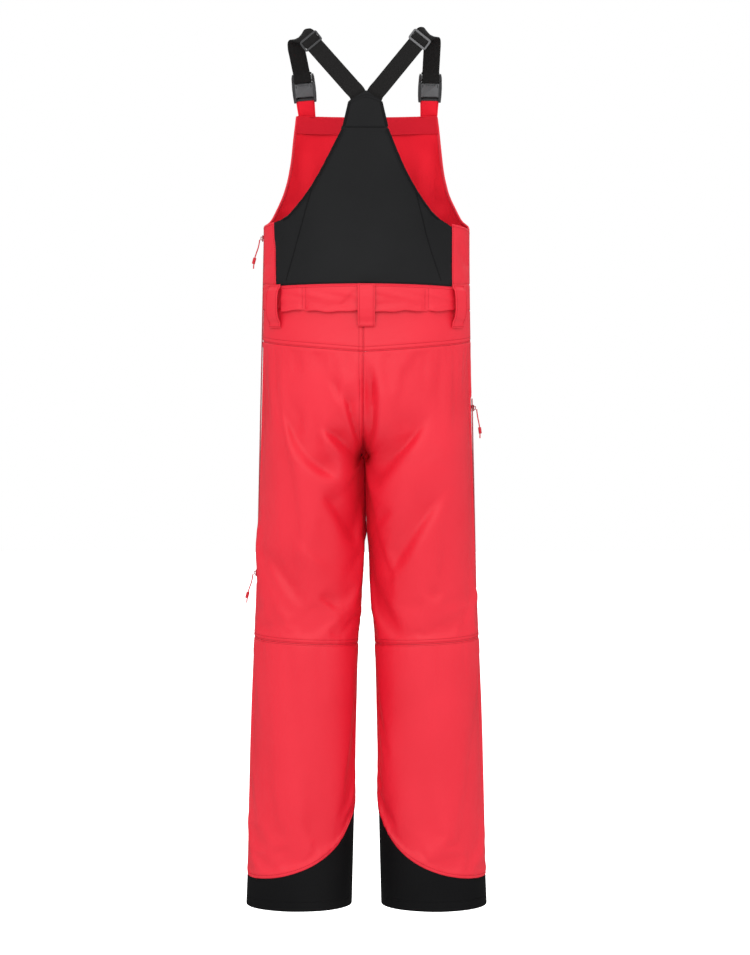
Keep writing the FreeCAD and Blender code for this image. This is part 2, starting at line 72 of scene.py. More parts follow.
# Half-widths of the upper panels, each as (height, half-width).
BIB_HALF = [(1.150, 0.1772), (1.160, 0.176), (1.172, 0.165), (1.193, 0.155), (1.225, 0.142),
            (1.275, 0.131), (1.326, 0.126), (1.356, 0.122)]
BACK_HALF = [(1.0, 0.153), (1.100, 0.1535), (1.166, 0.157), (1.171, 0.139), (1.187, 0.122),
             (1.221, 0.095), (1.321, 0.040)]
BACK_RIGHT = [(1.0, 0.1455), (1.06, 0.1453), (1.158, 0.1448), (1.162, 0.138), (1.1737, 0.1187),
              (1.2043, 0.0937), (1.2515, 0.0659), (1.321, 0.0365)]
YOKE_HALF = [(1.3216, 0.0396), (1.367, 0.0290), (1.3838, 0.0008)]
YOKE_RIGHT = 0.0032            # how much narrower the yoke is on the wearer's right
FACING_LOW = 1.326

# Straps: where each leaves the back yoke, its corner over the shoulder, its foot on the bib.
YOKE_EXIT = {"left": (0.0155, 0.084, 1.380), "right": (-0.0155, 0.084, 1.380)}
SHOULDER = {"left": (0.1187, -0.005, 1.505), "right": (-0.113, -0.005, 1.508)}
BIB_FOOT = {"left": (0.1034, -0.072, 1.357), "right": (-0.1080, -0.072, 1.357)}
ACROSS_BACK = {"left": (-0.749, 0.08, 0.662), "right": (0.749, 0.08, 0.662)}
ACROSS_FRONT = {"left": (-1, 0.05, 0.08), "right": (1, 0.05, 0.0)}
SHOULDER_BEND = 0.028
BEND_POINT = 12                 # point of strap_line where the bend over the shoulder starts
TWIST_POINTS = (13, 19)         # between these it turns from its back to its front direction
PRONG_TURN = 0.0021             # radius of the webbing's turn round the prong's bar
ADJUSTER_AT = 0.044
BUCKLE_FOOT = 0.025
STRAP_END = 0.0374             # how far above the buckle's foot the webbing turns back
SHOULDER_DROP = {"left": (0.0045, 0.0, -0.0185), "right": (-0.0005, 0.0, -0.0150)}

# Zips: height of the top end, height of the bottom end.
SIDE_ZIP = (1.156, 0.554)
VENT_ZIP = (0.868, 0.539)
FLY_ZIP = (1.011, 0.886)
CHEST_ZIP = (1.296, 1.136)
CHEST_ZIP_X = 0.058
CHEST_POCKET = (0.074, -0.074, 1.124, 1.308)
POCKET_LIFT = 0.0068

# Cord of a zip pull: (outward from the tape, down from the slider), lying in one plane.
PULL_ROUTE = [(0.0059, 0.0022), (0.0073, 0.014), (0.0120, 0.027), (0.0152, 0.040),
              (0.0156, 0.052)]
VENT_ROUTE = [(0.0059, 0.0022), (0.0069, 0.014), (0.0096, 0.027), (0.0109, 0.040),
              (0.0106, 0.052)]
PULL_CORD = 0.002

SIDES = (("left", 1), ("right", -1))


# ---- Small helpers ----
def ease(share):
    share = np.clip(share, 0.0, 1.0)
    return share * share * (3 - 2 * share)


def smooth(table):
    """Smooth curve through (place, size) pairs that never overshoots them."""
    place, size = np.array(table, float).T
    step = np.diff(place)
    slope = np.diff(size) / step
    tangent = np.concatenate([slope[:1], np.zeros(len(step) - 1), slope[-1:]])
    for i in range(1, len(step)):
        if slope[i - 1] * slope[i] > 0:
            tangent[i] = 2 / (1 / slope[i - 1] + 1 / slope[i])

    def curve(at):
        at = np.clip(at, place[0], place[-1])
        i = np.clip(np.searchsorted(place, at, side="right") - 1, 0, len(step) - 1)
        t = (at - place[i]) / step[i]
        start = size[i] * (1 + 2 * t) * (1 - t) ** 2 + step[i] * tangent[i] * t * (1 - t) ** 2
        end = size[i + 1] * t * t * (3 - 2 * t) + step[i] * tangent[i + 1] * t * t * (t - 1)
        return start + end
    return curve


outseam, inseam = smooth(OUTSEAM), smooth(INSEAM)
half_depth, depth_centre = smooth(HALF_DEPTH), smooth(DEPTH_CENTRE)
bib_half, back_half, back_right = smooth(BIB_HALF), smooth(BACK_HALF), smooth(BACK_RIGHT)


def unit(vectors):
    return vectors / np.linalg.norm(vectors, axis=-1, keepdims=True)


def framed(x, y, height):
    """Points in the frame from x, y and the height above the hem."""
    x, y, height = np.broadcast_arrays(x, y, height)
    return np.stack([x, y, height - WAIST_HEIGHT], axis=-1).astype(float)


def spaced(length, fine=0.0009, coarse=0.0040, border=0.0095):
    """Shares from 0 to 1 along a length, close together near both ends."""
    edge = np.arange(0, border, fine)
    middle = np.linspace(border, length - border, max(4, int((length - 2 * border) / coarse)),
                         endpoint=False)
    return np.concatenate([edge, middle, length - edge[::-1]]) / length


def lengths_along(points):
    steps = np.linalg.norm(np.diff(points, axis=0), axis=-1)
    return np.concatenate([[0.0], np.cumsum(steps)])


def resampled(points, step):
    """Points evenly spaced along a line."""
    along = lengths_along(points)
    places = np.linspace(0, along[-1], max(2, int(along[-1] / step) + 1))
    return np.stack([np.interp(places, along, points[:, i]) for i in range(points.shape[1])], 1)


def distance_to(points, line):
    """Distance of each grid point to a line of points."""
    dense = resampled(line, 0.0007)
    tree = KDTree(len(dense))
    for i, point in enumerate(dense):
        tree.insert(point, i)
    tree.balance()
    flat = points.reshape(-1, 3)
    found = np.array([tree.find(point)[2] for point in flat])
    return found.reshape(points.shape[:2])


# ---- Camera, light and floor ----
CAMERA_DISTANCE = 4.8
CAMERA_HEIGHT = 0.875
CAMERA_AIM = 0.7318
CAMERA_SIDE = -0.0146
LENS = 105.5
FILL_STRENGTH = 1.22
FILL_SHINE = 0.04
FLOOR_REACH = 16.0
FLOOR_DROP = 0.30               # the garment hangs this far above the floor
FLOOR_GLOW = 0.62               # light that the floor gives off, so that it looks white
KEY_SIZE = 2.4
KEYS = (("key_back_left", (1.4, 3.0, 2.1), 33), ("key_back_right", (-1.4, 3.0, 2.1), 25),
        ("key_front_left", (1.4, -3.0, 2.1), 25), ("key_front_right", (-1.4, -3.0, 2.1), 33))


def camera():
    data = bpy.data.cameras.new("camera")
    data.lens = LENS
    data.clip_end = 60
    made = bpy.data.objects.new("camera", data)
    place = Vector((CAMERA_SIDE, CAMERA_DISTANCE, CAMERA_HEIGHT - WAIST_HEIGHT))
    aim = Vector((CAMERA_SIDE, 0, CAMERA_AIM - WAIST_HEIGHT))
    made.location = place
    made.rotation_euler = (aim - place).to_track_quat("-Z", "Y").to_euler()
    bpy.context.scene.collection.objects.link(made)
    bpy.context.scene.camera = made


def area_light(name, place, size, power):
    data = bpy.data.lights.new(name, "AREA")
    data.size = size
    data.energy = power
    made = bpy.data.objects.new(name, data)
    made.location = place
    made.rotation_euler = (-Vector(place)).to_track_quat("-Z", "Y").to_euler()
    bpy.context.scene.collection.objects.link(made)


def studio():
    world = bpy.data.worlds.new("studio")
    world.use_nodes = True
    background = world.node_tree.nodes["Background"]
    background.inputs["Color"].default_value = (1, 1, 1, 1)
    path = world.node_tree.nodes.new("ShaderNodeLightPath")
    below = background.inputs["Strength"]
    for ray, low, high in (("Is Camera Ray", None, 1.0), ("Is Glossy Ray", FILL_STRENGTH,
                                                          FILL_SHINE)):
        strength = world.node_tree.nodes.new("ShaderNodeMapRange")
        strength.inputs["To Max"].default_value = high
        if low is not None:
            strength.inputs["To Min"].default_value = low
        world.node_tree.links.new(path.outputs[ray], strength.inputs["Value"])
        world.node_tree.links.new(strength.outputs[0], below)
        below = strength.inputs["To Min"]
    bpy.context.scene.world = world
    for name, place, power in KEYS:
        area_light(name, place, KEY_SIZE, power)
    mesh = bpy.data.meshes.new("floor")
    reach = FLOOR_REACH
    corners = [(-reach, -reach), (reach, -reach), (reach, reach), (-reach, reach)]
    mesh.from_pydata([(x, y, -WAIST_HEIGHT - FLOOR_DROP) for x, y in corners], [],
                     [(0, 1, 2, 3)])
    floor = bpy.data.objects.new("floor", mesh)
    bpy.context.scene.collection.objects.link(floor)
    pale = bpy.data.materials.new("floor_pale")
    pale.use_nodes = True
    shader = pale.node_tree.nodes["Principled BSDF"]
    shader.inputs["Base Color"].default_value = (0.93, 0.93, 0.93, 1)
    shader.inputs["Roughness"].default_value = 0.9
    shader.inputs["Emission Color"].default_value = (1, 1, 1, 1)
    shader.inputs["Emission Strength"].default_value = FLOOR_GLOW
    mesh.materials.append(pale)
    floor.visible_diffuse = False
    floor.visible_glossy = False
    view = bpy.context.scene.view_settings
    view.view_transform = "Standard"
    view.look = "None"


# ---- Materials ----
class Nodes:
    """Short way to build one material's node tree."""

    def __init__(self, name, roughness, **sockets):
        self.material = bpy.data.materials.new(name)
        self.material.use_nodes = True
        self.tree = self.material.node_tree
        self.shader = self.tree.nodes["Principled BSDF"]
        self.shader.inputs["Roughness"].default_value = roughness
        for socket, value in sockets.items():
            self.shader.inputs[socket.replace("_", " ")].default_value = value

    def add(self, kind, inputs=None, **settings):
        node = self.tree.nodes.new(kind)
        for name, value in settings.items():
            setattr(node, name, value)
        for socket, value in (inputs or {}).items():
            if isinstance(value, bpy.types.NodeSocket):
                self.tree.links.new(value, node.inputs[socket])
            else:
                node.inputs[socket].default_value = value
        return node

    def maths(self, operation, first, second=0.0):
        return self.add("ShaderNodeMath", {0: first, 1: second}, operation=operation).outputs[0]

    def noise(self, scale, detail=3.0, vector=None, stretch=None):
        where = vector or self.add("ShaderNodeTexCoord").outputs["Object"]
        if stretch:
            where = self.add("ShaderNodeMapping", {"Vector": where, "Scale": stretch}).outputs[0]
        node = self.add("ShaderNodeTexNoise", {"Vector": where, "Scale": scale,
                                               "Detail": detail})
        return node.outputs["Fac"]

    def cloth_place(self):
        """Place on the cut cloth in metres: across and along."""
        node = self.add("ShaderNodeUVMap", uv_map="weave")
        split = self.add("ShaderNodeSeparateXYZ", {0: node.outputs[0]})
        return node.outputs[0], split.outputs[0], split.outputs[1]

    def waves(self, place, pitch):
        return self.maths("SINE", self.maths("MULTIPLY", place, 2 * math.pi / pitch))

    def spread(self, value, low, high, to_low, to_high):
        node = self.add("ShaderNodeMapRange", {"Value": value, "From Min": low, "From Max": high,
                                               "To Min": to_low, "To Max": to_high})
        return node.outputs[0]

    def colour(self, factor, first, second):
        node = self.add("ShaderNodeMix", data_type="RGBA")
        self.tree.links.new(factor, node.inputs["Factor"])
        node.inputs["A"].default_value = (*first, 1)
        node.inputs["B"].default_value = (*second, 1)
        return node.outputs["Result"]

    def bump(self, height, strength, distance, below=None):
        inputs = {"Height": height, "Strength": strength, "Distance": distance}
        if below is not None:
            inputs["Normal"] = below
        return self.add("ShaderNodeBump", inputs).outputs[0]

    def plug(self, socket, value):
        self.tree.links.new(value, self.shader.inputs[socket])


def woven(name, dark, light, pitch, roughness, sheen, twill=0.0, crinkle=0.00035, gloss=0.35):
    """Woven or knitted cloth: yarn relief, fine crinkles and slight change of tone."""
    nodes = Nodes(name, roughness, Sheen_Weight=sheen, Sheen_Roughness=0.45,
                  Specular_IOR_Level=gloss)
    place, across, along = nodes.cloth_place()
    across = nodes.maths("ADD", across, nodes.maths("MULTIPLY", along, twill))
    yarn = nodes.maths("MULTIPLY", nodes.waves(across, pitch), nodes.waves(along, pitch))
    fleck = nodes.noise(700, 2.0, place)
    tone = nodes.noise(7, 4.0)
    mixed = nodes.maths("ADD", nodes.maths("MULTIPLY", yarn, 0.16), fleck)
    mixed = nodes.maths("ADD", mixed, nodes.maths("MULTIPLY", tone, 0.8))
    nodes.plug("Base Color", nodes.colour(nodes.spread(mixed, 0.55, 1.25, 0, 1), dark, light))
    nodes.plug("Roughness", nodes.spread(tone, 0.3, 0.7, roughness - 0.05, roughness + 0.06))
    soft = nodes.bump(nodes.noise(85, 4.0), 0.35, crinkle)
    nodes.plug("Normal", nodes.bump(yarn, 0.5, 0.00007, soft))
    return nodes.material


def ribbed(name, dark, light, pitch):
    """Elastic webbing: ribs across it and finer cords along it."""
    nodes = Nodes(name, 0.7, Sheen_Weight=0.05, Sheen_Roughness=0.4, Specular_IOR_Level=0.15)
    place, across, along = nodes.cloth_place()
    ribs = nodes.waves(along, pitch)
    cords = nodes.waves(across, 0.0022)
    fuzz = nodes.noise(900, 2.0, place)
    relief = nodes.maths("ADD", ribs, nodes.maths("MULTIPLY", cords, 0.5))
    mixed = nodes.maths("ADD", nodes.maths("MULTIPLY", relief, 0.22), fuzz)
    nodes.plug("Base Color", nodes.colour(nodes.spread(mixed, 0.2, 0.85, 0, 1), dark, light))
    nodes.plug("Roughness", nodes.spread(fuzz, 0.3, 0.7, 0.62, 0.8))
    nodes.plug("Normal", nodes.bump(relief, 0.6, 0.00022))
    return nodes.material


def moulded(name, dark, light, roughness, grain=900.0, metallic=0.0):
    """Moulded plastic or coated metal with a fine grain, its edges painted lighter: partly wear,
    partly painted highlight.
    """
    nodes = Nodes(name, roughness, Metallic=metallic, Specular_IOR_Level=0.5)
    # wear and painted highlight: the colour turns lighter where pointiness finds an edge
    edge = nodes.add("ShaderNodeNewGeometry").outputs["Pointiness"]
    edge_wear_and_highlight = nodes.maths("ADD", nodes.spread(edge, 0.5, 0.62, 0.0, 0.9),
                      nodes.maths("MULTIPLY", nodes.noise(60, 4.0), 0.35))
    nodes.plug("Base Color", nodes.colour(edge_wear_and_highlight, dark, light))
    nodes.plug("Roughness", nodes.spread(nodes.noise(140, 3.0), 0.3, 0.7, roughness - 0.07,
                                         roughness + 0.09))
    nodes.plug("Normal", nodes.bump(nodes.noise(grain, 2.0), 0.25, 0.00006))
    return nodes.material


def braided(name, dark, light):
    """Thin cord with a slanting braid."""
    nodes = Nodes(name, 0.60, Sheen_Weight=0.02, Sheen_Roughness=0.4, Specular_IOR_Level=0.15)
    where = nodes.add("ShaderNodeTexCoord").outputs["Object"]
    split = nodes.add("ShaderNodeSeparateXYZ", {0: where})
    slant = nodes.maths("ADD", split.outputs[2], nodes.maths("ADD", split.outputs[0],
                                                             split.outputs[1]))
    counter = nodes.maths("SUBTRACT", split.outputs[2], nodes.maths("ADD", split.outputs[0],
                                                                    split.outputs[1]))
    braid = nodes.maths("MULTIPLY", nodes.waves(slant, 0.0012), nodes.waves(counter, 0.0012))
    nodes.plug("Base Color", nodes.colour(nodes.spread(braid, -1, 1, 0, 1), dark, light))
    nodes.plug("Normal", nodes.bump(braid, 0.5, 0.00012))
    return nodes.material


def materials():
    return {
        "shell": woven("shell_red", (0.66, 0.004, 0.020), (0.75, 0.008, 0.029), 0.0009, 0.50, 0.01,
                       gloss=0.48),
        "facing": woven("facing_red", (0.57, 0.005, 0.016), (0.66, 0.008, 0.024), 0.0008, 0.62,
                        0.01, gloss=0.15),
        # painted light: the lining is the same cloth as the facing, its red set lighter to make up
        # for the shade inside the bib
        "lining": woven("lining_red_lightened_for_shade", (0.76, 0.006, 0.019), (0.86, 0.010, 0.028), 0.0008, 0.62,
                        0.01, gloss=0.15),
        "stretch": woven("stretch_black", (0.0085, 0.0087, 0.0094), (0.014, 0.0143, 0.015), 0.0011,
                         0.72, 0.03, twill=0.8, crinkle=0.0002, gloss=0.20),
        "binding": woven("binding_black", (0.005, 0.005, 0.0055), (0.010, 0.010, 0.011), 0.0008,
                         0.66, 0.04, twill=1.0, crinkle=0.0001, gloss=0.12),
        "cuff": woven("cuff_black", (0.0045, 0.0045, 0.005), (0.0085, 0.0085, 0.009), 0.0013,
                      0.62, 0.015, crinkle=0.0003, gloss=0.08),
        "gaiter": woven("gaiter_grey", (0.05, 0.05, 0.055), (0.085, 0.085, 0.09), 0.0009, 0.6,
                        0.08),
        "webbing": ribbed("webbing_black", (0.006, 0.0058, 0.0058), (0.0185, 0.0175, 0.017),
                          0.0014),
        "tape": woven("zip_tape_red", (0.46, 0.004, 0.012), (0.58, 0.007, 0.020), 0.0010, 0.5,
                      0.03, twill=1.0, crinkle=0.0001, gloss=0.2),
        "seam_tape": woven("seam_tape_black", (0.010, 0.010, 0.011), (0.016, 0.016, 0.017),
                           0.0012, 0.5, 0.02, crinkle=0.0001, gloss=0.2),
        "plastic": moulded("buckle_black", (0.020, 0.020, 0.021), (0.060, 0.060, 0.063), 0.45),
        "plate": moulded("buckle_grey", (0.080, 0.080, 0.084), (0.135, 0.135, 0.14), 0.5),
        # painted highlight: lighter copy of the buckle plastic, worn by the right adjuster only
        "highlit_plastic": moulded("adjuster_grey_painted_highlight", (0.085, 0.085, 0.088), (0.16, 0.16, 0.165), 0.45),
        "teeth": moulded("zip_teeth_grey", (0.42, 0.40, 0.41), (0.62, 0.60, 0.60), 0.4),
        "slider": moulded("slider_red", (0.26, 0.004, 0.012), (0.40, 0.015, 0.03), 0.50),
        "cord": braided("cord_red", (0.48, 0.003, 0.014), (0.66, 0.007, 0.024)),
        "bead": moulded("bead_red", (0.50, 0.004, 0.016), (0.64, 0.012, 0.03), 0.55),
        "thread_red": braided("thread_red", (0.36, 0.001, 0.009), (0.50, 0.003, 0.016)),
        "thread_black": braided("thread_black", (0.002, 0.002, 0.002), (0.010, 0.010, 0.011)),
    }


# ---- Meshes ----
def mesh_object(name, points, faces, looks, slots=None, cloth=None):
    """Object from points and faces; looks are its materials, cloth is each point's place."""
    mesh = bpy.data.meshes.new(name)
    mesh.from_pydata(np.asarray(points).tolist(), [], [list(map(int, f)) for f in faces])
    for look in looks:
        mesh.materials.append(look)
    if slots is not None:
        mesh.polygons.foreach_set("material_index", np.asarray(slots, np.int32))
    if cloth is not None:
        corners = np.zeros(len(mesh.loops), np.int32)
        mesh.loops.foreach_get("vertex_index", corners)
        layer = mesh.uv_layers.new(name="weave")
        layer.data.foreach_set("uv", np.asarray(cloth, np.float32)[corners].ravel())
    mesh.polygons.foreach_set("use_smooth", np.ones(len(mesh.polygons), bool))
    mesh.validate()
    mesh.set_sharp_from_angle(angle=math.radians(48))
    made = bpy.data.objects.new(name, mesh)
    bpy.context.scene.collection.objects.link(made)
    return made


def grid_faces(rows, columns, start=0, flip=False):
    index = start + np.arange(rows * columns).reshape(rows, columns)
    quads = np.stack([index[:-1, :-1], index[:-1, 1:], index[1:, 1:], index[1:, :-1]], -1)
    quads = quads.reshape(-1, 4)
    return quads[:, ::-1] if flip else quads


def rim_faces(rows, columns):
    """Faces that join the border of one grid to the border of the next."""
    index = np.arange(rows * columns).reshape(rows, columns)
    loop = np.concatenate([index[0, :-1], index[:-1, -1], index[-1, :0:-1], index[:0:-1, 0]])
    after = np.roll(loop, -1)
    under = rows * columns
    return np.stack([loop, loop + under, after + under, after], -1)


def sheet_object(name, outer, inner, looks, slots_inner=1):
    """Closed thin piece between two grids of points."""
    rows, columns = outer.shape[:2]
    points = np.concatenate([outer.reshape(-1, 3), inner.reshape(-1, 3)])
    facing = np.cross(outer[1, 0] - outer[0, 0], outer[0, 1] - outer[0, 0])
    flip = np.dot(facing, outer[0, 0] - inner[0, 0]) > 0
    top, bottom = grid_faces(rows, columns), grid_faces(rows, columns, rows * columns, True)
    rim = rim_faces(rows, columns)
    faces = np.concatenate([top, bottom, rim])
    if flip:
        faces = faces[:, ::-1]
    slots = np.zeros(len(faces), np.int32)
    slots[len(top):len(top) + len(bottom)] = slots_inner
    middle = outer[:, columns // 2]
    along = np.broadcast_to(lengths_along(middle)[:, None], (rows, columns))
    across = np.stack([lengths_along(row) for row in outer])
    across = across - across[:, columns // 2][:, None]
    cloth = np.stack([across, along], -1).reshape(-1, 2)
    return mesh_object(name, points, faces, looks, slots, np.concatenate([cloth, cloth]))


def grid_normals(points, outward):
    """Normals of a grid of points, on the side that outward points to."""
    normals = np.cross(np.gradient(points, axis=1), np.gradient(points, axis=0))
    normals = unit(normals)
    return np.where(np.sum(normals * outward, -1, keepdims=True) < 0, -normals, normals)


class Panel:
    """Outer face of one cut piece as a grid of points, rows from low to high."""

    def __init__(self, points, outward):
        self.points = points
        self.outward = outward
        self.normals = grid_normals(points, outward)
        self.inward = None
        self.away = {}

    def lift(self, amount):
        self.points = self.points + self.normals * amount[..., None]

    def refresh(self):
        self.normals = grid_normals(self.points, self.outward)

    def distance(self, border):
        if border not in self.away:
            line = {"low": self.points[0], "high": self.points[-1],
                    "first": self.points[:, 0], "last": self.points[:, -1]}[border]
            self.away[border] = distance_to(self.points, line)
        return self.away[border]

    def roll(self, *borders, depth=0.0013, width=0.0034):
        """The edges turn in, as they do into a seam."""
        inward = -self.normals if self.inward is None else self.inward
        for border in borders:
            share = np.clip(1 - self.distance(border) / width, 0, 1)
            self.points = self.points + inward * (depth * share ** 2)[..., None]

    def pucker(self, border, seed, height=0.0004, reach=0.012, wave=0.010):
        """Short ripples that the seam's thread pulls up beside a border."""
        away = self.distance(border)
        line = self.points[:, 0] if border in ("first", "last") else self.points[0]
        along = lengths_along(line)
        along = along[:, None] if border in ("first", "last") else along[None, :]
        rng = np.random.default_rng(seed)
        ripple = 0
        for _ in range(5):
            step = wave * rng.uniform(0.6, 1.9)
            ripple = ripple + np.sin(2 * math.pi * along / step + rng.uniform(0, 6.28))
        share = np.exp(-away / reach) * ease(away / 0.002)
        self.lift(share * ripple * height * 0.5)

    def groove(self, border, inset, depth=0.0005, width=0.0011):
        """The thread of a row of stitches pulls the cloth in along a line."""
        self.lift(-depth * np.exp(-((self.distance(border) - inset) / width) ** 2))

    def line(self, border, inset):
        """Line at a distance from one border: its points and its normals."""
        away, points, normals = self.distance(border), self.points, self.normals
        if border in ("first", "last"):
            away, points, normals = away.T, points.swapaxes(0, 1), normals.swapaxes(0, 1)
        if border in ("high", "last"):
            away, points, normals = away[::-1], points[::-1], normals[::-1]
        half = max(2, len(away) // 2)
        places, facing = [], []
        for i in range(away.shape[1]):
            at = np.interp(inset, away[:half, i], np.arange(half))
            low = min(int(at), half - 2)
            share = at - low
            places.append(points[low, i] * (1 - share) + points[low + 1, i] * share)
            facing.append(normals[low, i])
        return np.array(places), np.array(facing)

    def over(self, path, step=0.003):
        """Line on the panel above or below a path of (x, height): its points and normals."""
        flat, facing = self.points.reshape(-1, 3), self.normals.reshape(-1, 3)
        tree = KDTree(len(flat))
        for i, (x, _, z) in enumerate(flat):
            tree.insert((x, 0, z), i)
        tree.balance()
        places, directions = [], []
        for x, height in resampled(softened(path), step):
            near = tree.find_n((x, 0, height - WAIST_HEIGHT), 5)
            index = [found[1] for found in near]
            weight = np.array([1 / (found[2] ** 2 + 1e-7) for found in near])
            weight = weight / weight.sum()
            y = float(weight @ flat[index, 1])
            places.append((x, y, height - WAIST_HEIGHT))
            directions.append(weight @ facing[index])
        return np.array(places), unit(np.array(directions))

    def solid(self, name, looks, thickness=FABRIC):
        self.refresh()
        inner = self.points - self.normals * thickness
        return sheet_object(name, self.points, inner, looks)

    def cut_size(self):
        """Width and length of the cloth it was cut from, and its area."""
        width = max(lengths_along(row)[-1] for row in self.points)
        length = max(lengths_along(column)[-1] for column in self.points.swapaxes(0, 1))
        a = np.diff(self.points, axis=0)[:, :-1]
        b = np.diff(self.points, axis=1)[:-1]
        return (width, length), float(np.linalg.norm(np.cross(a, b), axis=-1).sum())


# ---- The body's surface ----
def section(height):
    """Centre and half-width of one leg, centre and half-depth of the body, at a height."""
    outer = outseam(height)
    centre = (outer + inseam(height)) / 2
    merged = ease((height - CROTCH_HEIGHT) / (SEAT_HEIGHT - CROTCH_HEIGHT))
    centre = centre * (1 - merged)
    return centre, outer - centre, depth_centre(height), half_depth(height)


def slot_width(ends, height):
    """Half-width of a zip's slot at a height, or of the plain seam past its ends."""
    top, foot = ends
    inside = ease((top - height) / 0.005 + 1) * ease((height - foot) / 0.005 + 1)
    return SEAM_GAP + (ZIP_SLOT - SEAM_GAP) * inside


def side_start(side, face, height):
    """Angle at which a panel starts beside the outseam."""
    slot = slot_width(SIDE_ZIP if side > 0 else VENT_ZIP, height)
    centre, depth = depth_centre(height), half_depth(height)
    plain = SEAM_GAP / depth
    return np.maximum(plain, (slot - face * centre * (slot > 2 * SEAM_GAP)) / depth)


def leg_surface(side, face, share, height):
    """Points and outward directions of a leg; share 0 is the outseam, 1 the inseam."""
    centre, half_width, middle, depth = section(height)
    start = side_start(side, face, height)
    gap = SEAM_GAP
    if face < 0:
        gap = slot_width(FLY_ZIP, height)
    end = np.pi - SEAM_GAP / depth
    merged = np.arccos(np.clip((gap - centre) / half_width, -1, 1))
    end = np.where(height > CROTCH_HEIGHT, np.minimum(end, merged), end)
    angle = start + (end - start) * share
    x = side * (centre + half_width * np.cos(angle))
    y = middle + face * depth * np.sin(angle)
    outward = np.stack([side * np.cos(angle) / half_width, face * np.sin(angle) / depth,
                        0 * angle], -1)
    return framed(x, y, height), unit(outward), angle


def waist_sag(face, x, height):
    """How far the seam over the waistband sinks towards its ends on the back."""
    if face < 0:
        return 0.0
    bow = -0.0019 - np.where(x > 0, 0.0024, 0.0042) * (x / 0.150) ** 2
    near = ease((height - 1.030) / 0.03) * (1 - ease((height - BAND_HIGH) / 0.05))
    return bow * near * (1 - ease((np.abs(x) - 0.150) / 0.022))


def trunk_surface(face, x, height):
    """Points and outward directions of the trunk at a place across it."""
    half_width, middle, depth = outseam(height), depth_centre(height), half_depth(height)
    cosine = np.clip(x / half_width, -1, 1)
    sine = np.sqrt(1 - cosine ** 2)
    y = middle + face * depth * sine
    outward = np.stack([cosine / half_width, face * sine / depth, 0 * cosine], -1)
    return framed(x, y, height + waist_sag(face, x, height)), unit(outward)


# ---- Folds ----
def softened(path, rounds=3):
    """Path with its corners cut again and again."""
    points = np.array(path, float)
    for _ in range(rounds):
        near = points[:-1] * 0.75 + points[1:] * 0.25
        far = points[:-1] * 0.25 + points[1:] * 0.75
        inner = np.stack([near, far], 1).reshape(-1, 2)
        points = np.concatenate([points[:1], inner, points[-1:]])
    return points


def fold(x, height, path, rise, plus, minus, fade=(0.35, 0.2)):
    """Ridge, or valley where rise is negative, along a path that runs downward.

    plus and minus are its widths on the path's two sides, the wearer's left one first."""
    points = softened(path)
    along = lengths_along(points)
    nearest = np.full(np.shape(x), np.inf)
    share = np.zeros(np.shape(x))
    width = np.zeros(np.shape(x))
    for (x0, h0), (x1, h1), start in zip(points, points[1:], along):
        dx, dh = x1 - x0, h1 - h0
        t = np.clip(((x - x0) * dx + (height - h0) * dh) / (dx * dx + dh * dh), 0, 1)
        qx, qh = x - x0 - t * dx, height - h0 - t * dh
        away = np.hypot(qx, qh)
        closer = away < nearest
        nearest = np.where(closer, away, nearest)
        share = np.where(closer, (start + t * math.hypot(dx, dh)) / along[-1], share)
        width = np.where(closer, np.where(dx * qh - dh * qx > 0, plus, minus), width)
    strength = ease(share / fade[0]) * ease((1 - share) / fade[1])
    return rise * strength * np.exp(-(nearest / width) ** 2)


